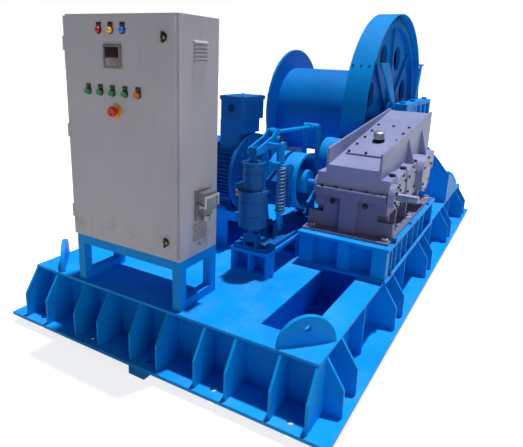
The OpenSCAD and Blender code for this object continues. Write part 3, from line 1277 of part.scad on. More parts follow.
// rope drum and open gear
flange_t2 = 20;
drum_x0 = -555;
drum_x1 = drum_x0 + drum_l;
barrel_t = 22;
disc_t = 20;
spoke_r = 45;
rim_in = 56;
web_x = [240, 270];
hub_r = 120;
lefthub_x = [-590, -520];
module winding_drum() color(blue) {
  difference() {
    rod_x([drum_x0, web_x[0]], drum_y, drum_z, barrel_r, $fn = 72);
    rod_x([drum_x0 - over, web_x[0] + over], drum_y, drum_z, barrel_r - barrel_t, $fn = 72);
  }
  difference() {
    union() {
      rod_x([drum_x0 + flange_t2, drum_x0 + flange_t2 + disc_t], drum_y, drum_z, barrel_r - barrel_t + over);
      rod_x(lefthub_x, drum_y, drum_z, hub_r);
    }
    rod_x([lefthub_x[0] - over, drum_x0 + 3 * flange_t2], drum_y, drum_z, axle_r);
    for (a = [0 : 60 : 300]) translate([drum_x0, drum_y, drum_z]) rotate([a, 0, 0])
      rod_x([-over, 3 * flange_t2], (hub_r + barrel_r) / 2, 0, spoke_r);
  }
}
module drum_flanges() color(blue) for (x = [drum_x0, drum_x1 - flange_t2]) difference() {
  rod_x([x, x + flange_t2], drum_y, drum_z, flange_r, $fn = 72);
  rod_x([x - over, x + flange_t2 + over], drum_y, drum_z, barrel_r, $fn = 72);
}
bull_r = mod_4 * teeth_4b / 2;
window_r = 95;
window_out = 60;
module bull_gear() color(steel) {
  difference() {
    union() {
      difference() {
        gear_x(bull_x, teeth_4b, mod_4, drum_y, drum_z, 180 + pair_angle + 180 / teeth_4b, open_share);
        rod_x([bull_x[0] - over, bull_x[1] + over], drum_y, drum_z, bull_r - rim_in, $fn = 96);
      }
      rod_x(web_x, drum_y, drum_z, bull_r - rim_in + over, $fn = 96);
      rod_x([web_x[0], bull_x[1]], drum_y, drum_z, hub_r);
      for (a = [0 : 45 : 315]) translate([0, drum_y, drum_z]) rotate([a, 0, 0])
        block([web_x[1] - over, bull_x[1] - disc_t], [hub_r - over, bull_r - rim_in + over], [-web_t, web_t]);
    }
    rod_x([web_x[0] - over, bull_x[1] + over], drum_y, drum_z, axle_r);
    for (a = [22.5 : 45 : 337.5]) translate([0, drum_y, drum_z]) rotate([a, 0, 0])
      rod_x([web_x[0] - over, web_x[1] + over], (hub_r + bull_r) / 2 + window_out, 0, window_r);
  }
}
beam_x = [390, 490];
beam_y = [drum_y - 221, drum_y + 634];
beam_z = [drum_z - 151, drum_z + 119];
left_ped_x = [-720, -600];
left_ped_hy = 260;
bear_r = 100;
bear_in = 6;
axle_out = 20;
axle_x = [left_ped_x[0] - axle_out, beam_x[1] + axle_out];
module drum_shaft() color(silver) {
  rod_x(axle_x, drum_y, drum_z, axle_r);
}
module drum_bearings() color(steel) {
  for (xs = [[left_ped_x[0] + bear_in, left_ped_x[1] - bear_in], [beam_x[0] + bear_in, beam_x[1] - bear_in]])
    difference() {
      rod_x(xs, drum_y, drum_z, bear_r);
      rod_x([xs[0] - over, xs[1] + over], drum_y, drum_z, axle_r + run_gap);
    }
}
foot_plate_t = 20;
foot_plate_out = 30;
left_top = 120;
left_neck_hy = 170;
left_cap_hy = 180;
left_cut = [48, 40, 30];
cap_bolt_y = 155;
cap_bolt_r = 12;
right_ped_x = [396, 484];
side_x = [deck_hx - web_t, deck_hx];
side_y0 = drum_y + 148;
side_curve = [[0, 552], [86, 530], [256, 475], [332, 444], [468, 390], [564, 350]];
side_knee = [703, 648];
side_top = 880;
rib_back = 330;
rib_side_h = 468;
rib_top_h = 700;
beam_step = 20;
pocket_in = 30;
pocket_w = 130;
pockets = [340, 510, 680];
cell_y = [[40, 400], [420, 795]];
cell_wall = 15;
module drum_pedestals() color(blue) {
  // left pedestal with a split bearing housing
  hy = left_ped_hy;
  c = left_cut;
  low = drum_z - left_top;
  difference() {
    union() {
      plate_x(left_ped_x, [[drum_y - hy, deck_z + foot_plate_t], [drum_y + hy, deck_z + foot_plate_t],
        [drum_y + left_neck_hy, low], [drum_y - left_neck_hy, low]]);
      block(left_ped_x, [drum_y - left_cap_hy, drum_y + left_cap_hy], [low, drum_z + left_top]);
      rod_x(left_ped_x, drum_y, drum_z, bear_r + foot_plate_out);
    }
    for (k = [0, 1]) plate_x([k == 0 ? left_ped_x[0] - over : left_ped_x[1] - c[0],
      k == 0 ? left_ped_x[0] + c[0] : left_ped_x[1] + over],
      [[drum_y - hy + c[1], deck_z + 2 * foot_plate_t], [drum_y + hy - c[1], deck_z + 2 * foot_plate_t],
      [drum_y + left_neck_hy - c[2], low - c[2]], [drum_y - left_neck_hy + c[2], low - c[2]]]);
    rod_x([left_ped_x[0] - over, left_ped_x[1] + over], drum_y, drum_z, bear_r);
  }
  block([left_ped_x[0] - foot_plate_out, left_ped_x[1] + foot_plate_out],
    [drum_y - hy - c[1], drum_y + hy + c[1]], [deck_z, deck_z + foot_plate_t]);
  for (s = [-1, 1]) bolt_z((left_ped_x[0] + left_ped_x[1]) / 2, drum_y + s * cap_bolt_y, drum_z + left_top, cap_bolt_r, 0);
  // right bearing beam on its ribbed pedestal
  ys = [beam_y[0] + beam_step, beam_y[1] - beam_step];
  difference() {
    union() {
      block(beam_x, beam_y, beam_z);
      block(right_ped_x, ys, [deck_z, beam_z[0]]);
    }
    for (y = pockets) block([beam_x[1] - pocket_in, beam_x[1] + over],
      [beam_y[0] + y, beam_y[0] + y + pocket_w], [beam_z[0] + pocket_in, beam_z[1] - pocket_in]);
    for (q = cell_y) block([right_ped_x[0] + cell_wall, right_ped_x[1] - cell_wall],
      [beam_y[0] + q[0], beam_y[0] + q[1]], [deck_z - over, beam_z[0] - pocket_in]);
    rod_x([beam_x[0] - over, beam_x[1] + over], drum_y, drum_z, bear_r);
  }
  for (y = [drum_y - cap_bolt_y, drum_y + cap_bolt_y, beam_y[1] - 2 * beam_step])
    bolt_z((beam_x[0] + beam_x[1]) / 2, y, beam_z[1], cap_bolt_r, 0);
  plate_y([side_y0, side_y0 + web_t], [[right_ped_x[1], deck_z], [side_x[0], deck_z],
    [side_x[0], side_curve[0][1]], side_knee, [right_ped_x[1], side_top]]);
  plate_x(side_x, [[side_y0, deck_z], [side_y0 + side_curve[5][0], deck_z],
    for (i = [5 : -1 : 0]) [side_y0 + side_curve[i][0], side_curve[i][1]]]);
  plate_y([side_y0 + rib_back, side_y0 + rib_back + web_t], [[right_ped_x[1], deck_z], [side_x[0], deck_z],
    [side_x[0], rib_side_h - web_t], [right_ped_x[1], rib_top_h]]);
  guard_brackets();
}
guard_x = [185, 350];
guard_t = 6;
bulge_r = 157;
bulge_x0 = 110;
guard_hole_r = 400;
guard_cut_z = shaft_z - bulge_r;
guard_cut_y = output_y + 337;
module guard_outline(shrink) difference() {
  union() {
    translate([drum_y, drum_z]) circle(r = guard_r - shrink, $fn = 96);
    translate([output_y, shaft_z]) circle(r = bulge_r - shrink);
  }
  translate([drum_y - 2 * guard_r, deck_z - 2 * guard_r]) square([4 * guard_r, 2 * guard_r]);
  translate([drum_y - 2 * guard_r, deck_z - guard_r]) square([guard_cut_y - drum_y + 2 * guard_r, guard_cut_z - deck_z + guard_r]);
}
module gear_guard() color(blue) {
  difference() {
    sheet_x(guard_x, 0, 0) guard_outline(0);
    sheet_x([guard_x[0] + guard_t, guard_x[1] + over], 0, 0) offset_free();
    rod_x([guard_x[0] - over, guard_x[1]], drum_y, drum_z, guard_hole_r);
    rod_x([bulge_x0 - over, guard_x[1]], output_y, shaft_z, seat_r[3] + free_gap);
    rod_x([guard_x[0] - over, guard_x[0] + guard_t + over], output_y, shaft_z, bulge_r - guard_t);
  }
  difference() {
    rod_x([bulge_x0, guard_x[0]], output_y, shaft_z, bulge_r);
    rod_x([bulge_x0 + guard_t, guard_x[0] + over], output_y, shaft_z, bulge_r - guard_t);
    rod_x([bulge_x0 - over, guard_x[0]], output_y, shaft_z, seat_r[3] + free_gap);
  }
}
module offset_free() {
  translate([drum_y, drum_z]) circle(r = guard_r - guard_t, $fn = 96);
  translate([output_y, shaft_z]) circle(r = bulge_r - guard_t);
}
// plates and legs that carry the guard from the beam, front and rear
bracket_x = [guard_x[1], beam_x[0]];
bracket_z = [drum_z + 401, drum_z + 413];
bracket_in = [668, 490];
leg_h = 65;
leg_foot = [419, 469];
leg_head = [504, 554];
module guard_brackets() {
  x = [bracket_x[1], bracket_x[1] + web_t];
  block(bracket_x, [drum_y - bracket_in[0], drum_y - bracket_in[1]], bracket_z);
  plate_x(x, [[drum_y - bracket_in[0], bracket_z[1]], [drum_y - bracket_in[0], bracket_z[0]],
    [beam_y[0], beam_z[1] - leg_h], [beam_y[0], beam_z[1]], [drum_y - bracket_in[1], bracket_z[1]]]);
  block(bracket_x, [drum_y + bracket_in[1], drum_y + bracket_in[0]], bracket_z);
  plate_x(x, [[drum_y + leg_foot[0], beam_z[1]], [drum_y + leg_foot[1], beam_z[1]],
    [drum_y + leg_head[1], bracket_z[1]], [drum_y + leg_head[0], bracket_z[1]]]);
}

base_plate();
base_webs();
base_gussets();
deck_plate();
lifting_lugs();
cabinet_stand();
cabinet_body();
cabinet_door();
cabinet_gear();
upper_latch();
lower_latch();
pilot_lamps();
door_fittings();
panel_meter();
hoist_button();
lower_button();
fast_button();
slow_button();
reset_button();
estop_button();
cable_connector();
connector_lever();
motor_frame();
motor_body();
motor_end_shields();
fan_cowl();
motor_rotor();
terminal_box();
brake_pedestal();
brake_base();
brake_drum();
near_arm();
far_arm();
near_shoe();
far_shoe();
brake_lever();
tie_rod();
thruster_body();
thruster_rod();
brake_spring();
spring_rod();
gearbox_pedestal();
lower_housing();
upper_housing();
inspection_cover();
breather();
input_shaft();
second_shaft();
third_shaft();
output_shaft();
shaft_bearings();
bearing_covers();
gearbox_bolts();
winding_drum();
drum_flanges();
bull_gear();
drum_shaft();
drum_bearings();
drum_pedestals();
gear_guard();
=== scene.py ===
import bpy
import bmesh
import math
from mathutils import Matrix, Vector


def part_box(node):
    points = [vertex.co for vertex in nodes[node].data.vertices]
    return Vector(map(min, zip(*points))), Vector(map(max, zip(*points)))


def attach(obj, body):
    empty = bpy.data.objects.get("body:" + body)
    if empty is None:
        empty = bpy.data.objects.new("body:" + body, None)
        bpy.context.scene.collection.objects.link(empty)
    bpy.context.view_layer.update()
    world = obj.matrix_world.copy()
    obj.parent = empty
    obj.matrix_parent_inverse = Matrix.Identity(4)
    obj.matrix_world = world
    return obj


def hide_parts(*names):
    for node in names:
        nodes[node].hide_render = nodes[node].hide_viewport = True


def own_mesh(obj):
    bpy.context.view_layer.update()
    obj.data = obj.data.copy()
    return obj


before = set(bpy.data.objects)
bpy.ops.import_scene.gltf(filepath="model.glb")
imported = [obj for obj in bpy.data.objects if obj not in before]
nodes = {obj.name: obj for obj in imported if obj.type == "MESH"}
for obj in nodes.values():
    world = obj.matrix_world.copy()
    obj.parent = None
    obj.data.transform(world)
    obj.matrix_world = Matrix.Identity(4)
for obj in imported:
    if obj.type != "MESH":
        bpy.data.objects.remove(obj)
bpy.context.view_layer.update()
print("frame loaded:", len(nodes), "nodes")


# camera, floor and light
camera = {
    "place": (1.3549, -3.1708, 1.3914),
    "yaw": 29.03, "pitch": 14.44, "roll": 2.26,       # degrees
    "lens": 33.67, "shift": (-0.0025, -0.0746), "clipEnd": 200,
}
studio = {
    "floorSize": 60.0, "floorColour": (0.5, 0.5, 0.5, 1), "floorGlow": 0.8,
    # painted shade: under the base the floor has no glow, so it shows dark through the base's holes
    "shadowUnderBase": (0.8, 1.6),                          # no glow under the base: half width and half length
    "sunPower": 3.7, "sunAngle": 3, "sunFrom": (0.06, 0.17, 1.0), "sunReach": 12,
    "fillPower": 50, "fillFrom": (5.6, -4.2, 2.2), "fillSize": 3.0,
    "skyStrength": 0.11, "skyColour": (0.74, 0.83, 1.0),
}


def makeCamera():
    yaw, pitch, roll = (math.radians(camera[k]) for k in ("yaw", "pitch", "roll"))
    ahead = Vector((-math.sin(yaw) * math.cos(pitch), math.cos(yaw) * math.cos(pitch), -math.sin(pitch)))
    right = Vector((math.cos(yaw), math.sin(yaw), 0))
    up = right.cross(ahead)
    across = right * math.cos(roll) + up * math.sin(roll)
    top = up * math.cos(roll) - right * math.sin(roll)
    data = bpy.data.cameras.new("photoCamera")
    data.lens = camera["lens"]
    data.shift_x, data.shift_y = camera["shift"]
    data.clip_end = camera["clipEnd"]
    eye = bpy.data.objects.new("photoCamera", data)
    turn = Matrix((across, top, -ahead)).transposed().to_4x4()
    eye.matrix_world = Matrix.Translation(camera["place"]) @ turn
    bpy.context.scene.collection.objects.link(eye)
    bpy.context.scene.camera = eye


def link(name, mesh):
    thing = bpy.data.objects.new(name, mesh)
    bpy.context.scene.collection.objects.link(thing)
    return thing


def lamp(name, kind, power, fromPoint, aim=(0, 0, 0.5), **sizes):
    data = bpy.data.lights.new(name, kind)
    data.energy = power
    for key, value in sizes.items():
        setattr(data, key, value)
    thing = link(name, data)
    thing.location = fromPoint
    thing.rotation_euler = (Vector(aim) - Vector(fromPoint)).to_track_quat("-Z", "Y").to_euler()
    return thing


# shader maths as plain sums on values
class Value:
    def __init__(self, paint, socket):
        self.paint, self.socket = paint, socket

    def math(self, operation, *others):
        return self.paint.node("ShaderNodeMath", {"operation": operation}, [self, *others])

    def __add__(self, other):
        return self.math("ADD", other)

    def __sub__(self, other):
        return self.math("SUBTRACT", other)

    def __rsub__(self, other):
        return self.paint.node("ShaderNodeMath", {"operation": "SUBTRACT"}, [other, self])

    def __mul__(self, other):
        return self.math("MULTIPLY", other)

    def __lt__(self, other):
        return self.math("LESS_THAN", other)

    __radd__ = __add__
    __rmul__ = __mul__

    def step(self, low, high):                         # 0 below low, 1 above high
        settings = {"interpolation_type": "SMOOTHSTEP", "clamp": True}
        return self.paint.node("ShaderNodeMapRange", settings,
                               {"Value": self, "From Min": low, "From Max": high})


class Paint:
    def __init__(self, name, **fixed):
        self.material = bpy.data.materials.new(name)
        self.material.use_nodes = True
        self.tree = self.material.node_tree
        self.shader = next(n for n in self.tree.nodes if n.type == "BSDF_PRINCIPLED")
        for key, value in fixed.items():
            self.shader.inputs[key.replace("_", " ")].default_value = value
        self.place = self.node("ShaderNodeTexCoord", {}, {}, "Object")
        facing = self.node("ShaderNodeTexCoord", {}, {}, "Normal")
        self.upward = self.node("ShaderNodeSeparateXYZ", {}, {"Vector": facing}, "Z")

    def node(self, kind, settings, inputs, output=0):
        made = self.tree.nodes.new(kind)
        for key, value in settings.items():
            setattr(made, key, value)
        items = enumerate(inputs) if isinstance(inputs, list) else inputs.items()
        for key, value in items:
            if isinstance(value, Value):
                self.tree.links.new(value.socket, made.inputs[key])
            else:
                made.inputs[key].default_value = value
        return Value(self, made.outputs[output])

    def noise(self, scale, detail=3.0, rough=0.55, stretch=(1, 1, 1)):
        spot = self.place
        if stretch != (1, 1, 1):
            spot = self.node("ShaderNodeMapping", {}, {"Vector": spot, "Scale": stretch})
        return self.node("ShaderNodeTexNoise", {},
                         {"Vector": spot, "Scale": scale, "Detail": detail, "Roughness": rough})

    def height(self):
        return self.node("ShaderNodeSeparateXYZ", {}, {"Vector": self.place}, "Z")

    def mix(self, factor, first, second):
        return self.node("ShaderNodeMix", {"data_type": "RGBA"}, {0: factor, 6: first, 7: second}, 2)

    def bump(self, value, strength, depth):
        return self.node("ShaderNodeBump", {}, {"Height": value, "Strength": strength, "Distance": depth})

    def feed(self, **links):
        for key, value in links.items():
            self.tree.links.new(value.socket, self.shader.inputs[key.replace("_", " ")])
        return self.material


def linear(c):                                         # screen level 0 to 255 made linear
    return ((c / 255 + 0.055) / 1.055) ** 2.4 if c > 10 else c / 3294.6


def rgb(red, green, blue):
    return (linear(red), linear(green), linear(blue), 1)


# finishes: noise scales are per metre, stretches are (x, y, z)
enamel = {
    "hue": rgb(5, 158, 244), "shade": rgb(4, 140, 228), "dust": rgb(120, 176, 222), "chip": rgb(40, 66, 92),
    "rough": 0.42, "cloud": 2.3, "run": 9, "runStretch": (3, 3, 0.35), "settle": 6, "speck": 85,
    "knock": 38, "knockPatch": 3.1, "skin": 140, "wave": 16, "skinDepth": 0.0012,
}


def enamelPaint(name, hue, shade, dust=enamel["dust"], dustAmount=0.2, chip=enamel["chip"],
                rough=enamel["rough"], peel=0.18, chips=0.68, gloss=0.12):
    p = Paint(name, IOR=1.5, Specular_IOR_Level=gloss)
    cloud = p.noise(enamel["cloud"], 4)
    runs = p.noise(enamel["run"], 3, 0.5, enamel["runStretch"])
    colour = p.mix(cloud.step(0.3, 0.75), hue, shade)
    colour = p.mix(runs.step(0.56, 0.8) * 0.35, colour, shade)
    settled = p.upward.step(0.5, 0.98) * p.noise(enamel["settle"], 6, 0.65).step(0.42, 0.78) * dustAmount
    specks = p.noise(enamel["speck"], 3, 0.6).step(0.62, 0.74) * p.upward.step(0.2, 0.9)
    specks = specks * (dustAmount * 0.6)
    colour = p.mix(settled, colour, dust)
    colour = p.mix(specks, colour, dust)
    knocks = p.noise(enamel["knock"], 5, 0.7).step(chips, chips + 0.03)
    knocks = knocks * p.noise(enamel["knockPatch"], 2).step(0.5, 0.62)
    colour = p.mix(knocks * 0.85, colour, chip)
    sheen = rough + settled * 0.35 + knocks * 0.3 + cloud * 0.12
    skin = p.noise(enamel["skin"], 2, 0.4) * 0.5 + p.noise(enamel["wave"], 3, 0.5)
    return p.feed(Base_Color=colour, Roughness=sheen, Normal=p.bump(skin, peel, enamel["skinDepth"]))


coat = {                                               # cabinet's powder coat, grimy near its foot
    "streak": rgb(150, 146, 150), "grime": rgb(120, 112, 104), "footZ": 0.54, "grimeRise": 0.25,
    "cloud": 1.7, "run": 10, "runStretch": (2.5, 2.5, 0.25), "smear": 14,
    "grain": 420, "grainDepth": 0.0006,
}


def powderCoat(name, hue, shade):
    p = Paint(name, IOR=1.5)
    cloud = p.noise(coat["cloud"], 4)
    streak = p.noise(coat["run"], 4, 0.6, coat["runStretch"]).step(0.55, 0.8) * 0.25
    colour = p.mix(cloud.step(0.3, 0.7), hue, shade)
    colour = p.mix(streak, colour, coat["streak"])
    nearFoot = 1 - (p.height() - coat["footZ"]).step(0, coat["grimeRise"])
    grime = nearFoot * p.noise(coat["smear"], 5, 0.7).step(0.48, 0.75) * 0.45
    colour = p.mix(grime, colour, coat["grime"])
    grain = p.bump(p.noise(coat["grain"], 2, 0.5), 0.25, coat["grainDepth"])
    return p.feed(Base_Color=colour, Roughness=0.42 + cloud * 0.1 + grime * 0.2, Normal=grain)


metal = {"cloud": 12, "fine": 60, "oilPatch": 30, "oil": rgb(60, 52, 44), "fineDepth": 0.0006}


def bareMetal(name, hue, shade, rough, stretch=(1, 1, 1), oil=0.0):
    p = Paint(name, Metallic=1.0)
    cloud = p.noise(metal["cloud"], 4)
    fine = p.noise(metal["fine"], 4, 0.6, stretch)
    colour = p.mix(cloud.step(0.3, 0.75), hue, shade)
    colour = p.mix(p.noise(metal["oilPatch"], 5, 0.7).step(0.6, 0.8) * oil, colour, metal["oil"])
    bump = p.bump(fine, 0.22, metal["fineDepth"])
    return p.feed(Base_Color=colour, Roughness=rough + fine * 0.18 + cloud * 0.08, Normal=bump)


moulding = {"fleck": 180, "darker": 0.82, "depth": 0.0003}


def plastic(name, hue, rough=0.35, glow=None):
    fixed = {"Emission_Strength": glow} if glow else {}
    p = Paint(name, **fixed)
    fleck = p.noise(moulding["fleck"], 3)
    darker = tuple(c * moulding["darker"] for c in hue[:3]) + (1,)
    colour = p.mix(fleck.step(0.35, 0.7), hue, darker)
    links = {"Emission_Color": colour} if glow else {}
    bump = p.bump(fleck, 0.08, moulding["depth"])
    return p.feed(Base_Color=colour, Roughness=rough + fleck * 0.1, Normal=bump, **links)


glass = {"dark": rgb(44, 20, 24), "lit": rgb(74, 26, 30), "rows": 60, "rowStretch": (1, 1, 3)}


def screenGlass(name):                                 # dark red display behind glass
    p = Paint(name, Roughness=0.12, Coat_Weight=0.6)
    rows = p.noise(glass["rows"], 2, 0.5, glass["rowStretch"]).step(0.45, 0.62)
    colour = p.mix(rows, glass["dark"], glass["lit"])
    return p.feed(Base_Color=colour, Emission_Color=colour)


finishes = {
    "blue": enamelPaint("blueEnamel", enamel["hue"], enamel["shade"]),
    "drumBlue": enamelPaint("drumEnamel", rgb(3, 136, 222), rgb(3, 120, 206), dustAmount=0.12),
    "deepBlue": enamelPaint("deepBlueEnamel", rgb(3, 106, 188), rgb(3, 90, 168)),
    "motorBlue": enamelPaint("motorEnamel", rgb(4, 118, 204), rgb(3, 100, 184), peel=0.35),
    "thruster": enamelPaint("thrusterEnamel", rgb(2, 100, 176), rgb(2, 84, 152), dustAmount=0.08,
                            gloss=0.2),
    "mauve": enamelPaint("gearboxEnamel", rgb(150, 156, 196), rgb(136, 141, 182), dust=rgb(186, 192, 214),
                         chip=rgb(70, 66, 82), rough=0.36, peel=0.4, chips=0.64, gloss=0.3),
    # painted shade: a darker copy of the gearbox enamel, its dust darker too, laid on the lower housing
    "mauvePaintedShade": enamelPaint("gearboxShadedEnamel", rgb(126, 124, 160), rgb(112, 110, 146),
                              dust=rgb(160, 158, 178), chip=rgb(70, 66, 82), rough=0.4, peel=0.4,
                              chips=0.64),
    "cabinet": powderCoat("cabinetCoat", rgb(196, 192, 198), rgb(186, 182, 190)),
    "silver": bareMetal("turnedSteel", rgb(136, 142, 172), rgb(110, 116, 150), 0.42, (40, 1, 1), 0.2),
    "zinc": bareMetal("zincPlate", rgb(206, 208, 212), rgb(180, 182, 186), 0.28),
    "bolt": bareMetal("blackBolt", rgb(70, 68, 82), rgb(46, 44, 56), 0.42, oil=0.3),
    "spring": bareMetal("springSteel", rgb(196, 204, 216), rgb(160, 170, 186), 0.3, oil=0.1),
    "alloy": bareMetal("connectorAlloy", rgb(150, 152, 156), rgb(126, 128, 132), 0.42),
    "brass": bareMetal("brassKnob", rgb(214, 172, 92), rgb(180, 138, 66), 0.3),
    "black": plastic("blackPlastic", rgb(24, 24, 28), 0.36),
    "grey": plastic("greyPlastic", rgb(132, 124, 126), 0.45),
    "white": plastic("bareLabel", rgb(214, 206, 200), 0.5),
    "labelBand": plastic("labelBand", rgb(196, 92, 52), 0.5),
    "key": plastic("meterKey", rgb(226, 176, 128), 0.4),
    "green": plastic("greenPlastic", rgb(24, 146, 78)),
    "orange": plastic("orangePlastic", rgb(232, 112, 26)),
    "red": plastic("redPlastic", rgb(214, 26, 46)),
    "yellow": plastic("yellowPlastic", rgb(236, 164, 30)),
    "blueLens": plastic("blueLens", rgb(30, 104, 226), 0.16, 0.12),
    "redLens": plastic("redLens", rgb(176, 16, 30), 0.16, 0.08),
    "amberLens": plastic("amberLens", rgb(240, 180, 36), 0.16, 0.12),
    "screen": screenGlass("meterScreen"),
}
finishOf = {
    "blue": "base_plate base_gussets deck_plate lifting_lugs motor_frame brake_pedestal brake_lever "
            "gearbox_pedestal drum_pedestals gear_guard brake_drum base_webs near_arm far_arm "
            "cabinet_stand drum_bearings tie_rod spring_rod",
    "drumBlue": "winding_drum drum_flanges drum_shaft bull_gear",
    "deepBlue": "brake_base near_shoe far_shoe terminal_box",
    "motorBlue": "motor_body motor_end_shields fan_cowl",
    "thruster": "thruster_body thruster_rod",
    "mauve": "upper_housing inspection_cover bearing_covers",
    # painted shade: the lower housing takes the darker copy of the gearbox enamel
    "mauvePaintedShade": "lower_housing",
    "cabinet": "cabinet_body cabinet_door",
    "silver": "motor_rotor input_shaft second_shaft third_shaft output_shaft shaft_bearings",
    "zinc": "connector_lever breather cabinet_gear",
    "bolt": "gearbox_bolts upper_latch lower_latch",
    "spring": "brake_spring",
    "alloy": "cable_connector",
    "black": "panel_meter door_fittings",
    "green": "hoist_button lower_button fast_button slow_button",
    "orange": "reset_button",
    "red": "estop_button",
    "redLens": "pilot_lamps",
}
for finish, names in finishOf.items():
    for name in names.split():
        mesh = nodes[name].data
        mesh.materials.clear()
        mesh.materials.append(finishes[finish])
print("finishes laid on", sum(len(n.split()) for n in finishOf.values()), "nodes")

# shapes and the pieces made from them
def turned(bm, outline, foot, along, steps=40):        # (radius, height) pairs spun about an axis
    along, foot = Vector(along).normalized(), Vector(foot)
    side = along.orthogonal().normalized()
    verts = [bm.verts.new(foot + along * height + side * radius) for radius, height in outline]
    edges = [bm.edges.new(pair) for pair in zip(verts, verts[1:])]
    bmesh.ops.spin(bm, geom=verts + edges, cent=foot, axis=along, angle=math.tau, steps=steps,
                   use_merge=True)


def rodOutline(r, start, end):
    return [(0, start), (r, start), (r, end), (0, end)]


def domeOutline(r, side, top):                         # low button: straight side, slightly raised middle
    return [(0, 0), (r, 0), (r, side), (0, top)]


def washerOutline(r, t, side):
    return [(0, 0), (r, 0), (r, side), (r - 0.001, t), (0, t)]


def ringOutline(inner, r, t, soft):                    # flat ring, its outer rim chamfered by soft
    return [(inner, 0), (r, 0), (r, t - soft), (r - soft, t), (inner, t), (inner, 0)]


def edgesOf(verts):                                    # each edge once, in the same order every run
    return list(dict.fromkeys(e for v in verts for e in v.link_edges))


def slab(bm, low, high, edge=0.0, steps=2):            # block with rounded edges
    size = [b - a for a, b in zip(low, high)]
    middle = [(a + b) / 2 for a, b in zip(low, high)]
    place = Matrix.Translation(middle) @ Matrix.Diagonal((*size, 1))
    made = bmesh.ops.create_cube(bm, size=1, matrix=place)
    if edge:
        bmesh.ops.bevel(bm, geom=edgesOf(made["verts"]), offset=edge, segments=steps, profile=0.5,
                        affect="EDGES", material=-1)


hexForm = {"nearTop": 0.1, "chamfer": 0.22}            # shares of the head's height


def hexHead(bm, foot, along, radius, height, spin=0.0):   # six-sided head with a chamfered top
    foot, along = Vector(foot), Vector(along)
    turn = along.to_track_quat("Z", "Y").to_matrix().to_4x4() @ Matrix.Rotation(spin, 4, "Z")
    place = Matrix.Translation(foot) @ turn @ Matrix.Translation((0, 0, height / 2))
    made = bmesh.ops.create_cone(bm, cap_ends=True, segments=6, radius1=radius, radius2=radius,
                                 depth=height, matrix=place)
    top = foot + along.normalized() * height
    near = [v for v in made["verts"] if abs((v.co - top).dot(along)) < height * hexForm["nearTop"]]
    rim = [e for e in edgesOf(near) if all(v in near for v in e.verts)]
    bmesh.ops.bevel(bm, geom=rim, offset=height * hexForm["chamfer"], segments=2, profile=0.5,
                    affect="EDGES", material=-1)


def dress(name, bm, finish, body, hides=(), sharp=32):   # mesh to a finished object that rides a body
    bmesh.ops.remove_doubles(bm, verts=bm.verts, dist=1e-6)
    bmesh.ops.recalc_face_normals(bm, faces=bm.faces)
    mesh = bpy.data.meshes.new(name)
    bm.to_mesh(mesh)
    bm.free()
    for face in mesh.polygons:
        face.use_smooth = True
    mesh.set_sharp_from_angle(angle=math.radians(sharp))
    mesh.materials.append(finishes[finish])
    made = link(name, mesh)
    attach(made, body)
    if hides:
        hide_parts(*hides)
    return made


def middleOf(node):
    low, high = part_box(node)
    return [(a + b) / 2 for a, b in zip(low, high)]


# door controls
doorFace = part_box("cabinet_door")[0][1]
outward, inward = (0, -1, 0), (0, 1, 0)

# pilot lamps: domed lenses
lens = {"r": 0.0122, "out": 0.017, "straight": 0.45, "edgeIn": 0.013, "middleShift": 0.0003,
        "stepDegrees": 15}
lampLow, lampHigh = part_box("pilot_lamps")
lampX = [lampLow[0] + lens["edgeIn"], (lampLow[0] + lampHigh[0]) / 2 + lens["middleShift"],
         lampHigh[0] - lens["edgeIn"]]
lampZ = (lampLow[2] + lampHigh[2]) / 2


def lensOutline():
    outline = [(0, 0), (lens["r"], 0)]
    for angle in range(0, 91, lens["stepDegrees"]):
        turn = math.radians(angle)
        rise = lens["straight"] + (1 - lens["straight"]) * math.sin(turn)
        outline.append((lens["r"] * math.cos(turn), lens["out"] * rise))
    return outline


for x, hue in zip(lampX, ("red", "amber", "blue")):
    bm = bmesh.new()
    turned(bm, lensOutline(), (x, doorFace, lampZ), outward)
    dress(hue + "Lamp", bm, hue + "Lens", "door", ("pilot_lamps",))

# push buttons: caps with a dished face
cap = {"r": 0.0124, "out": 0.017, "gap": 0.0005, "shoulder": 0.0028, "soft": 0.0009, "dishR": 0.55,
       "rimDip": 0.0006, "middleDip": 0.001}
buttons = ("hoist_button", "lower_button", "fast_button", "slow_button", "reset_button")
buttonSpot = [(middleOf(b)[0], middleOf(b)[2]) for b in buttons]
r, out = cap["r"], cap["out"]
capOutline = [
    (0, cap["gap"]), (r, cap["gap"]), (r, out - cap["shoulder"]), (r - cap["soft"], out - cap["soft"]),
    (r - cap["shoulder"], out), (r * cap["dishR"], out - cap["rimDip"]), (0, out - cap["middleDip"]),
]
for node, (x, z) in zip(buttons, buttonSpot):
    bm = bmesh.new()
    turned(bm, capOutline, (x, doorFace, z), outward)
    finish = "orange" if node == "reset_button" else "green"
    dress(node.replace("_", "") + "Cap", bm, finish, node + "_body", (node,))

# black bezels and bare legend holders round lamps and buttons
bezel = {"gap": 0.001, "r": 0.0162, "out": 0.005, "edge": 0.0016, "lip": 0.0006, "side": 0.6, "inside": 0.8,
         "holderW": 0.027, "holderUp": 0.031, "holderDown": 0.0136, "holderT": 0.0026, "holderEdge": 0.001}
r, out, inner = bezel["r"], bezel["out"], lens["r"] + bezel["gap"]
bezelOutline = [(inner, 0), (r, 0), (r, out * bezel["side"]), (r - bezel["edge"], out),
                (inner + bezel["lip"], out), (inner, out * bezel["inside"]), (inner, 0)]
bm = bmesh.new()
for x, z in buttonSpot + [(x, lampZ) for x in lampX]:
    turned(bm, bezelOutline, (x, doorFace, z), outward)
    half = bezel["holderW"] / 2
    slab(bm, (x - half, doorFace - bezel["holderT"], z + bezel["holderDown"]),
         (x + half, doorFace, z + bezel["holderUp"]), bezel["holderEdge"])
dress("controlBezels", bm, "black", "door", ("door_fittings",))

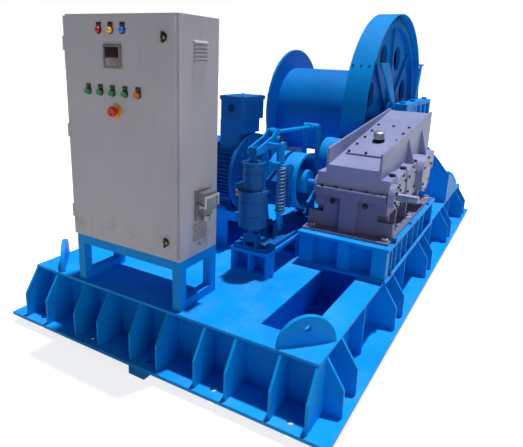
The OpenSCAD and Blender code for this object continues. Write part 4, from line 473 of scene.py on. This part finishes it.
# stop button: mushroom of (radius, height) pairs on a yellow ring
stop = {
    "mushroom": [(0, 0.001), (0.0095, 0.001), (0.0095, 0.012), (0.01599, 0.016), (0.0205, 0.019),
                 (0.0205, 0.028), (0.01968, 0.031), (0.0164, 0.034), (0.009225, 0.0328), (0, 0.0322)],
    "ringBore": 0.0105, "ringR": 0.031, "ringOut": 0.004, "ringSoft": 0.0012,
}
stopX, stopZ = middleOf("estop_button")[0], middleOf("estop_button")[2]
bm = bmesh.new()
turned(bm, stop["mushroom"], (stopX, doorFace, stopZ), outward)
dress("stopMushroom", bm, "red", "estop_button_body", ("estop_button",))
bm = bmesh.new()
turned(bm, ringOutline(stop["ringBore"], stop["ringR"], stop["ringOut"], stop["ringSoft"]),
       (stopX, doorFace, stopZ), outward)
dress("stopRing", bm, "yellow", "door", ("door_fittings",))

# panel meter: frame, display and its row of keys
meter = {"frameW": 0.009, "out": 0.009, "sunk": 0.003, "edge": 0.0024, "glassGap": 0.001, "glassIn": 0.0012,
         "glassEdge": 0.0008, "keys": 4, "keyR": 0.0032, "keyUp": 0.016, "keyGap": 0.013, "keyOut": 0.0016,
         "keyTop": 0.00192}
low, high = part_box("panel_meter")
bm = bmesh.new()
slab(bm, (low[0], doorFace - meter["out"], low[2]), (high[0], doorFace, high[2]), meter["edge"], 3)
front = max((f for f in bm.faces if f.normal.y < -0.99), key=lambda f: f.calc_area())
bmesh.ops.inset_region(bm, faces=[front], thickness=meter["frameW"], depth=0)
sunk = bmesh.ops.extrude_discrete_faces(bm, faces=[front])["faces"][0]
bmesh.ops.translate(bm, verts=list(sunk.verts), vec=(0, meter["sunk"], 0))
dress("meterFrame", bm, "grey", "door", ("panel_meter",))
bm = bmesh.new()
inside = meter["frameW"] + meter["glassGap"]
glassY = doorFace - meter["out"] + meter["glassIn"]
slab(bm, (low[0] + inside, glassY, low[2] + inside),
     (high[0] - inside, doorFace - meter["sunk"], high[2] - inside), meter["glassEdge"])
dress("meterScreen", bm, "screen", "door")
bm = bmesh.new()
for i in range(meter["keys"]):
    x = (low[0] + high[0]) / 2 + (i - (meter["keys"] - 1) / 2) * meter["keyGap"]
    turned(bm, domeOutline(meter["keyR"], meter["keyOut"], meter["keyTop"]),
           (x, glassY, low[2] + meter["keyUp"]), outward, 16)
dress("meterKeys", bm, "key", "door")

# quarter-turn latches: rosette, wing, brass core, and the cam behind the door
latch = {"in": 0.013, "roseR": 0.017, "roseOut": 0.0035, "roseGap": 0.0002, "roseSoft": 0.003,
         "wingL": 0.021, "wingW": 0.0065, "wingOut": 0.017, "wingEdge": 0.0022,
         "coreR": 0.0085, "coreSide": 0.005, "coreTop": 0.0065, "coreSoft": 0.0015,
         "stemR": 0.0078, "camT": 0.004, "camEdge": 0.0008}
for node in ("upper_latch", "lower_latch"):
    low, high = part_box(node)
    x, z = low[0] + latch["in"], middleOf(node)[2]
    name, body = node.replace("_l", "L"), node + "_body"
    bm = bmesh.new()
    r, out, gap = latch["roseR"], latch["roseOut"], latch["roseGap"]
    turned(bm, [(0, gap), (r, gap), (r, out * 0.5), (r - latch["roseSoft"], out), (0, out)],
           (x, doorFace, z), outward)
    slab(bm, (x - latch["wingW"] / 2, doorFace - latch["wingOut"], z - latch["wingL"]),
         (x + latch["wingW"] / 2, doorFace - out * 0.8, z + latch["wingL"]), latch["wingEdge"], 3)
    dress(name + "Knob", bm, "black", body, (node,))
    bm = bmesh.new()
    r, side, top = latch["coreR"], out + latch["coreSide"], out + latch["coreTop"]
    turned(bm, [(r, out * 0.5), (r, side), (r - latch["coreSoft"], top), (0, top)],
           (x, doorFace, z), outward)
    dress(name + "Core", bm, "brass", body)
    bm = bmesh.new()
    r = latch["stemR"]
    turned(bm, rodOutline(r, 0, high[1] - doorFace), (x, doorFace, z), inward, 28)
    slab(bm, (x - r, high[1] - latch["camT"], z - r), (high[0], high[1], z + r), latch["camEdge"])
    dress(name + "Cam", bm, "zinc", body)

# behind the door: collars, contact blocks with their screws, and the meter's case
behind = {"sheet": 0.002, "collarR": 0.0178, "boreR": 0.0134, "collarT": 0.010, "collarSoft": 0.001,
          "blockW": 0.030, "blockH": 0.042, "blockEnd": 0.050, "blockEdge": 0.0015,
          "screwX": 0.0085, "screwZ": 0.013, "screwR": 0.0042, "screwSide": 0.0012, "screwTop": 0.0016,
          "meterEnd": 0.058, "meterIn": 0.004, "meterEdge": 0.002}
bm, rings = bmesh.new(), bmesh.new()
innerFace, blockEnd = doorFace + behind["sheet"], doorFace + behind["blockEnd"]
collar = ringOutline(behind["boreR"], behind["collarR"], behind["collarT"], behind["collarSoft"])
screw = domeOutline(behind["screwR"], behind["screwSide"], behind["screwTop"])
for x, z in buttonSpot + [(x, lampZ) for x in lampX] + [(stopX, stopZ)]:
    turned(rings, collar, (x, innerFace, z), inward, 28)
    slab(bm, (x - behind["blockW"] / 2, innerFace + behind["collarT"], z - behind["blockH"] / 2),
         (x + behind["blockW"] / 2, blockEnd, z + behind["blockH"] / 2), behind["blockEdge"])
    for side in (-1, 1):
        for way in (-1, 1):
            spot = (x + side * behind["screwX"], blockEnd, z + way * behind["screwZ"])
            turned(rings, screw, spot, inward, 14)
dress("contactBlocks", bm, "black", "door")
dress("contactCollars", rings, "grey", "door")
low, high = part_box("panel_meter")
inside = behind["meterIn"]
bm = bmesh.new()
slab(bm, (low[0] + inside, innerFace, low[2] + inside),
     (high[0] - inside, doorFace + behind["meterEnd"], high[2] - inside), behind["meterEdge"])
dress("meterCase", bm, "black", "door")

# covers on the drive of the mounting plate: places count from the corner of its board
low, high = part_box("cabinet_gear")
drive = {"x": (0.044, 0.234), "z": (0.146, 0.526), "depth": 0.150, "skin": 0.0012, "edge": 0.005,
         "ribs": 11, "ribIn": 0.020, "ribUp": 0.030, "ribPitch": 0.016, "ribH": 0.006, "ribOut": 0.003,
         "ribEdge": 0.001,
         "padIn": 0.060, "padZ": (0.140, 0.045), "padOut": 0.006, "padEdge": 0.003,
         "screenIn": 0.068, "screenZ": (0.085, 0.055), "screenOut": (0.0068, 0.005), "screenEdge": 0.001}
skin, board = drive["skin"], low[1] + drive["depth"]
driveX, driveZ = [low[0] + v for v in drive["x"]], [low[2] + v for v in drive["z"]]
driveFront = low[1] - skin
bm = bmesh.new()
slab(bm, (driveX[0] - skin, driveFront, driveZ[0] - skin), (driveX[1] + skin, board, driveZ[1] + skin),
     drive["edge"], 3)
for i in range(drive["ribs"]):
    z = driveZ[0] + drive["ribUp"] + i * drive["ribPitch"]
    slab(bm, (driveX[0] + drive["ribIn"], driveFront - drive["ribOut"], z),
         (driveX[1] - drive["ribIn"], low[1], z + drive["ribH"]), drive["ribEdge"], 1)
dress("driveCover", bm, "grey", "frame")

# relays with their terminals, and the module above them
relay = {
    "count": 4, "w": 0.055, "pitch": 0.058, "z": (0.146, 0.236), "depth": 0.080,
    "edgeIn": 0.044, "edge": 0.003,
    "flagX": (0.040, 0.015), "flagZ": (0.176, 0.206), "flagOut": 0.004, "sunk": 0.001, "soft": 0.001,
    "screwX": (0.010, 0.0275, 0.045), "screwZ": (0.158, 0.224),
    "screwR": 0.0048, "screwSide": 0.0014, "screwTop": 0.002,
}
module = {
    "w": 0.190, "z": (0.336, 0.426), "edge": 0.003,
    "terminals": 12, "firstIn": 0.0135, "pitch": 0.0148, "halfW": 0.006, "out": 0.006,
    "rows": (0.341, 0.405), "rowH": 0.016, "soft": 0.0008,
}
plateEdge, relayFront = high[0] - relay["edgeIn"], board - relay["depth"] - skin
relayRight = [plateEdge - i * relay["pitch"] for i in range(relay["count"])]
bm = bmesh.new()
slab(bm, (driveX[0] + drive["padIn"], driveFront - drive["padOut"], driveZ[1] - drive["padZ"][0]),
     (driveX[1] - drive["padIn"], low[1], driveZ[1] - drive["padZ"][1]), drive["padEdge"])
for right in relayRight:
    slab(bm, (right - relay["w"] - skin, relayFront, low[2] + relay["z"][0] - skin),
         (right + skin, board, low[2] + relay["z"][1] + skin), relay["edge"])
dress("relayCovers", bm, "black", "frame")
bm = bmesh.new()
(screenFoot, screenTop), (screenFront, screenBack) = drive["screenZ"], drive["screenOut"]
slab(bm, (driveX[0] + drive["screenIn"], driveFront - screenFront, driveZ[1] - screenFoot),
     (driveX[1] - drive["screenIn"], driveFront - screenBack, driveZ[1] - screenTop), drive["screenEdge"])
dress("driveScreen", bm, "screen", "frame")
bm, screws = bmesh.new(), bmesh.new()
slab(bm, (plateEdge - module["w"] - skin, relayFront, low[2] + module["z"][0] - skin),
     (plateEdge + skin, board, low[2] + module["z"][1] + skin), module["edge"])
screw = domeOutline(relay["screwR"], relay["screwSide"], relay["screwTop"])
for right in relayRight:
    slab(bm, (right - relay["flagX"][0], relayFront - relay["flagOut"], low[2] + relay["flagZ"][0]),
         (right - relay["flagX"][1], relayFront + relay["sunk"], low[2] + relay["flagZ"][1]), relay["soft"])
    for across in relay["screwX"]:
        for rise in relay["screwZ"]:
            turned(screws, screw, (right - across, relayFront, low[2] + rise), outward, 14)
dress("moduleCover", bm, "white", "frame")
dress("gearScrews", screws, "zinc", "frame")
bm = bmesh.new()
for i in range(module["terminals"]):
    x = plateEdge - module["firstIn"] - i * module["pitch"]
    for rise in module["rows"]:
        z = low[2] + rise
        slab(bm, (x - module["halfW"], relayFront - module["out"], z),
             (x + module["halfW"], relayFront + relay["sunk"], z + module["rowH"]), module["soft"], 1)
dress("moduleTerminals", bm, "green", "frame")
print("cabinet pieces made")

# brake spring: one wire swept up by chained turns, its end turns close and flat
springForm = {
    "wireR": 0.0035, "meanR": 0.0205, "turns": 12, "stepsPerTurn": 28, "wireSides": 12, "keep": 0.8845,
    "endTurns": 1.0, "endPitch": 2.04,                 # pitch of the end turns in wire radii
}
low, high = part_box("brake_spring")
foot = Vector(((low[0] + high[0]) / 2, (low[1] + high[1]) / 2, low[2]))
rise = high[2] - low[2] - 2 * springForm["wireR"]
endRise = springForm["endPitch"] * springForm["wireR"] * springForm["endTurns"]
bm = bmesh.new()
wireStart = Matrix.Translation(foot + Vector((springForm["meanR"], 0, springForm["wireR"])))
wireStart = wireStart @ Matrix.Rotation(math.pi / 2, 4, "X")
ring = bmesh.ops.create_circle(bm, cap_ends=False, segments=springForm["wireSides"],
                               radius=springForm["wireR"], matrix=wireStart)
last = ring["verts"] + edgesOf(ring["verts"])
ends = [[e for e in last if isinstance(e, bmesh.types.BMEdge)]]
endTurn = (springForm["endTurns"], endRise)
for turns, climb in (endTurn, (springForm["turns"], rise - 2 * endRise), endTurn):
    steps = round(turns * springForm["stepsPerTurn"])
    last = bmesh.ops.spin(bm, geom=last, cent=foot, axis=(0, 0, 1), dvec=(0, 0, climb / steps),
                          angle=math.tau * turns, steps=steps)["geom_last"]
ends.append([e for e in last if isinstance(e, bmesh.types.BMEdge)])
for edges in ends:
    bmesh.ops.contextual_create(bm, geom=edges)
coil = dress("springCoil", bm, "spring", "near_arm_body", ("brake_spring",), 60)
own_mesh(coil)

# thruster: raised bands and flange screws
thruster = {
    "axis": (0.180, -1.148), "lowR": 0.072, "upR": 0.053, "sunk": 0.001, "flat": 0.6,
    "lowBands": ((0.630, 0.007, 0.002), (0.700, 0.006, 0.002)),       # height, half width, depth
    "upBands": ((0.838, 0.008, 0.003), (0.852, 0.004, 0.0015)),
    "lowScrews": {"count": 8, "in": 0.007, "z": 0.763, "r": 0.0062, "h": 0.006},
    "upScrews": {"count": 4, "in": 0.008, "z": 0.902, "r": 0.0055, "h": 0.005},
}
tx, ty = thruster["axis"]
bm = bmesh.new()
for r, bands in ((thruster["lowR"], thruster["lowBands"]), (thruster["upR"], thruster["upBands"])):
    for z, wide, deep in bands:
        flat, inner = wide * thruster["flat"], r - thruster["sunk"]
        outline = [(inner, z - wide), (r + deep, z - flat), (r + deep, z + flat), (inner, z + wide),
                   (inner, z - wide)]
        turned(bm, outline, (tx, ty, 0), (0, 0, 1), 56)
dress("thrusterBands", bm, "thruster", "frame")
bm = bmesh.new()
for edgeR, row in ((thruster["lowR"], thruster["lowScrews"]), (thruster["upR"], thruster["upScrews"])):
    r = edgeR - row["in"]
    for i in range(row["count"]):
        a = math.tau * (i + 0.5) / row["count"]
        spot = (tx + r * math.cos(a), ty + r * math.sin(a), row["z"])
        hexHead(bm, spot, (0, 0, 1), row["r"], row["h"], a)
dress("thrusterScrews", bm, "bolt", "frame")

# painted length of the input shaft beside the brake drum
sleeve = {"x": (0.2868, 0.3362), "r": 0.0204, "y": -0.710, "z": 0.729}
bm = bmesh.new()
turned(bm, rodOutline(sleeve["r"], *sleeve["x"]), (0, sleeve["y"], sleeve["z"]), (1, 0, 0), 56)
dress("shaftPaint", bm, "blue", "input_line")

# thruster's junction box: lid with a gland below, bare label with a coloured band
junction = {
    "low": (0.099, -1.180, 0.717), "high": (0.160, -1.116, 0.788), "lidOut": 0.009, "lidOver": 0.003,
    "lidIn": 0.02, "lidEdge": 0.003, "glandIn": 0.022, "glandY": -1.150,
    "gland": [(0, 0), (0.0095, 0), (0.0095, -0.006), (0.0075, -0.008), (0.0075, -0.02), (0, -0.02)],
    "labelX": (0.004, 0.022), "labelGap": 0.0008, "labelT": 0.001, "labelZ": (0.012, 0.046),
    "labelEdge": 0.0003, "bandT": 0.0003, "bandZ": (0.022, 0.034), "bandEdge": 0.0001,
}
low, high, over = junction["low"], junction["high"], junction["lidOver"]
bm = bmesh.new()
slab(bm, (low[0] - over, low[1] - junction["lidOut"], low[2] - over),
     (high[0] + over - junction["lidIn"], low[1], high[2] + over), junction["lidEdge"], 3)
turned(bm, junction["gland"], (low[0] + junction["glandIn"], junction["glandY"], low[2]), (0, 0, 1), 20)
dress("junctionLid", bm, "thruster", "frame")
labelY = low[1] - junction["lidOut"] - junction["labelGap"]
labelX = (low[0] + junction["labelX"][0], high[0] - junction["labelX"][1])
bm = bmesh.new()
slab(bm, (labelX[0], labelY, low[2] + junction["labelZ"][0]),
     (labelX[1], labelY + junction["labelT"], low[2] + junction["labelZ"][1]), junction["labelEdge"], 1)
dress("junctionLabel", bm, "white", "frame")
bm = bmesh.new()
slab(bm, (labelX[0], labelY - junction["bandT"], low[2] + junction["bandZ"][0]),
     (labelX[1], labelY, low[2] + junction["bandZ"][1]), junction["bandEdge"], 1)
dress("junctionBand", bm, "labelBand", "frame")

# nuts and washers on the linkage pins
linkNuts = {
    "faces": (0.2364, 0.1236), "nutR": 0.0195, "nutH": 0.0115, "spin": 0.25,
    "washerR": 0.022, "washerT": 0.0025, "washerSide": 0.00175,
    "pins": (("near_arm_body", "armNut", -0.975, 0.991), ("near_shoe_body", "nearShoeNut", -0.950, 0.729),
             ("far_shoe_body", "farShoeNut", -0.470, 0.729)),
}
washer = washerOutline(linkNuts["washerR"], linkNuts["washerT"], linkNuts["washerSide"])
for body, name, y, z in linkNuts["pins"]:
    bm = bmesh.new()
    for x, way in zip(linkNuts["faces"], (1, -1)):
        turned(bm, washer, (x, y, z), (way, 0, 0), 24)
        hexHead(bm, (x + way * linkNuts["washerT"], y, z), (way, 0, 0), linkNuts["nutR"], linkNuts["nutH"],
                linkNuts["spin"])
    dress(name, bm, "bolt", body)
print("brake pieces made")

# gearbox: breather on the sloping roof
gearbox = {"x": 0.552, "slope": math.atan(209 / 1174.5), "shaftZ": 0.729}
tilt = Matrix.Rotation(gearbox["slope"], 4, "X")
roofUp, alongRoof = tilt @ Vector((0, 0, 1)), tilt @ Vector((0, 1, 0))
breather = {
    "foot": (gearbox["x"], -0.3322, 0.9368), "headUp": 0.026, "headR": 0.0355, "headH": 0.040, "spin": 0.3,
    "seat": [(0, 0.0104), (0.034, 0.0104), (0.035, 0.013), (0.034, 0.0175), (0.020, 0.0185), (0.019, 0.020),
             (0.019, 0.034), (0, 0.034)],
    "top": [(0, 0.0655), (0.026, 0.0655), (0.024, 0.0668), (0.010, 0.0674), (0, 0.0674)],
}
vent = Vector(breather["foot"])
bm = bmesh.new()
turned(bm, breather["seat"], vent, roofUp)
dress("breatherSeat", bm, "bolt", "frame", ("breather",))
bm = bmesh.new()
hexHead(bm, vent + roofUp * breather["headUp"], roofUp, breather["headR"], breather["headH"],
        breather["spin"])
turned(bm, breather["top"], vent, roofUp)
dress("breatherCap", bm, "zinc", "frame", ("breather",))

# six screws with washers on each bearing cover
covers = {
    "faceX": 0.750, "screws": 6, "screwIn": 0.012, "screwR": 0.0092, "screwH": 0.0075, "screwLift": 0.002,
    "washerR": 0.0115, "washerT": 0.0022, "washerSide": 0.0016,
    "rows": ((-0.710, 0.0625, 0.031), (-0.550, 0.090, 0.012), (-0.319, 0.100, 0.012),
             (-0.0355, 0.115, 0.040)),
}
bm, washers = bmesh.new(), bmesh.new()
washer = washerOutline(covers["washerR"], covers["washerT"], covers["washerSide"])
for y, r, t in covers["rows"]:                         # shaft's place, cover's radius and thickness
    ring = r - covers["screwIn"]
    for i in range(covers["screws"]):
        a = math.tau * (i + 0.5) / covers["screws"]
        spot = Vector((covers["faceX"] + t, y + ring * math.cos(a), gearbox["shaftZ"] + ring * math.sin(a)))
        turned(washers, washer, spot, (1, 0, 0), 20)
        seat = spot + Vector((covers["screwLift"], 0, 0))
        hexHead(bm, seat, (1, 0, 0), covers["screwR"], covers["screwH"], a)
dress("coverScrews", bm, "bolt", "frame")
dress("coverWashers", washers, "zinc", "frame")

# screws round the inspection cover
roof = {"foot": (-0.575, 0.8934), "length": 0.5734, "half": 0.112, "plateT": 0.0103, "screwIn": 0.014,
        "rows": 5, "screwR": 0.0092, "screwH": 0.0065, "spinStep": 0.2, "endSpin": 0.5}
roofFoot = Vector((gearbox["x"], *roof["foot"])) + roofUp * roof["plateT"]
bm = bmesh.new()
for i in range(roof["rows"]):
    way = roof["screwIn"] + i * (roof["length"] - 2 * roof["screwIn"]) / (roof["rows"] - 1)
    for side in (-1, 1):
        spot = roofFoot + alongRoof * way + Vector((side * (roof["half"] - roof["screwIn"]), 0, 0))
        hexHead(bm, spot, roofUp, roof["screwR"], roof["screwH"], roof["spinStep"] * i)
for way in (roof["screwIn"], roof["length"] - roof["screwIn"]):
    hexHead(bm, roofFoot + alongRoof * way, roofUp, roof["screwR"], roof["screwH"], roof["endSpin"])
dress("roofScrews", bm, "bolt", "frame")

# nuts on the gearbox's foot bolts
footNut = {"halfX": 0.205, "rows": (-0.777, -0.285, 0.227), "z": 0.507, "washerR": 0.024, "washerT": 0.003,
           "washerSide": 0.0024, "nutR": 0.0206, "nutH": 0.0152, "spin": 0.4}
washer = washerOutline(footNut["washerR"], footNut["washerT"], footNut["washerSide"])
bm = bmesh.new()
for y in footNut["rows"]:
    for side in (-1, 1):
        spot = Vector((gearbox["x"] + side * footNut["halfX"], y, footNut["z"]))
        turned(bm, washer, spot, (0, 0, 1), 28)
        hexHead(bm, spot, (0, 0, 1), footNut["nutR"], footNut["nutH"], footNut["spin"])
dress("footNuts", bm, "zinc", "frame")

# oil plugs in the front face
plug = {"z": 0.668, "x": (0.462, 0.642), "faceY": -0.785, "r": 0.011, "out": 0.009, "washerR": 0.016,
        "washerT": 0.002}
bm = bmesh.new()
for x in plug["x"]:
    turned(bm, rodOutline(plug["washerR"], 0, plug["washerT"]), (x, plug["faceY"], plug["z"]), outward, 24)
    hexHead(bm, (x, plug["faceY"] - plug["washerT"], plug["z"]), outward, plug["r"], plug["out"])
dress("oilPlugs", bm, "bolt", "frame")
print("gearbox pieces made")

# guard: screws through the band where its brackets hold it
guard = {"y": 0.7658, "z": 0.981, "r": 0.775, "screwX": (0.205, 0.263, 0.321), "screwZ": 1.370,
         "screwR": 0.007, "screwH": 0.005}
up = guard["screwZ"] - guard["z"]
back = math.sqrt(guard["r"] ** 2 - up ** 2)
bm = bmesh.new()
for x in guard["screwX"]:
    hexHead(bm, (x, guard["y"] - back, guard["screwZ"]), (0, -back, up), guard["screwR"], guard["screwH"])
dress("guardScrews", bm, "bolt", "frame")
print("guard screws made")

# camera, floor, lamps and sky: the floor and sky show white to the camera, and light the object plainly
makeCamera()
floorMesh = bmesh.new()
bmesh.ops.create_grid(floorMesh, x_segments=1, y_segments=1, size=studio["floorSize"] / 2)
floorData = bpy.data.meshes.new("studioFloor")
floorMesh.to_mesh(floorData)
floor = link("studioFloor", floorData)
floorPaint = Paint("floorPaint", Roughness=0.9, Specular_IOR_Level=0.1)
seen = floorPaint.node("ShaderNodeLightPath", {}, {}, "Is Camera Ray")
shine = floorPaint.node("ShaderNodeLightPath", {}, {}, "Is Glossy Ray")
through = floorPaint.node("ShaderNodeLightPath", {}, {}, "Is Transmission Ray")
across = floorPaint.node("ShaderNodeSeparateXYZ", {}, {"Vector": floorPaint.place}, "X")
along = floorPaint.node("ShaderNodeSeparateXYZ", {}, {"Vector": floorPaint.place}, "Y")
underX, underY = studio["shadowUnderBase"]
# painted shade: a box under the base where the floor's glow is cut, so the floor there shows its shadow
# dark
under = (across.math("ABSOLUTE") < underX) * (along.math("ABSOLUTE") < underY)
glow = (seen + shine + through) * studio["floorGlow"] * (1 - under)
floorPaint.shader.inputs["Base Color"].default_value = studio["floorColour"]
floorPaint.shader.inputs["Emission Color"].default_value = (1, 1, 1, 1)
floorPaint.tree.links.new(glow.socket, floorPaint.shader.inputs["Emission Strength"])
floorData.materials.append(floorPaint.material)

sunPlace = Vector(studio["sunFrom"]).normalized() * studio["sunReach"]
lamp("sunLamp", "SUN", studio["sunPower"], sunPlace, angle=math.radians(studio["sunAngle"]))
lamp("fillLamp", "AREA", studio["fillPower"], studio["fillFrom"], size=studio["fillSize"])
world = bpy.data.worlds.new("studioSky")
world.use_nodes = True
bpy.context.scene.world = world
skyTree = world.node_tree
sky = next(n for n in skyTree.nodes if n.type == "BACKGROUND")
rays = skyTree.nodes.new("ShaderNodeLightPath")
level = skyTree.nodes.new("ShaderNodeMath")
level.operation = "MAXIMUM"
seenRays = skyTree.nodes.new("ShaderNodeMath")
skyTree.links.new(rays.outputs["Is Camera Ray"], seenRays.inputs[0])
skyTree.links.new(rays.outputs["Is Transmission Ray"], seenRays.inputs[1])
skyTree.links.new(seenRays.outputs[0], level.inputs[0])
level.inputs[1].default_value = studio["skyStrength"]
skyTree.links.new(level.outputs[0], sky.inputs["Strength"])
tint = skyTree.nodes.new("ShaderNodeMix")
tint.data_type = "RGBA"
tint.inputs[6].default_value = (*studio["skyColour"], 1)
tint.inputs[7].default_value = (1, 1, 1, 1)
skyTree.links.new(seenRays.outputs[0], tint.inputs[0])
skyTree.links.new(tint.outputs[2], sky.inputs["Color"])
bpy.context.scene.view_settings.view_transform = "Standard"
print("studio ready")
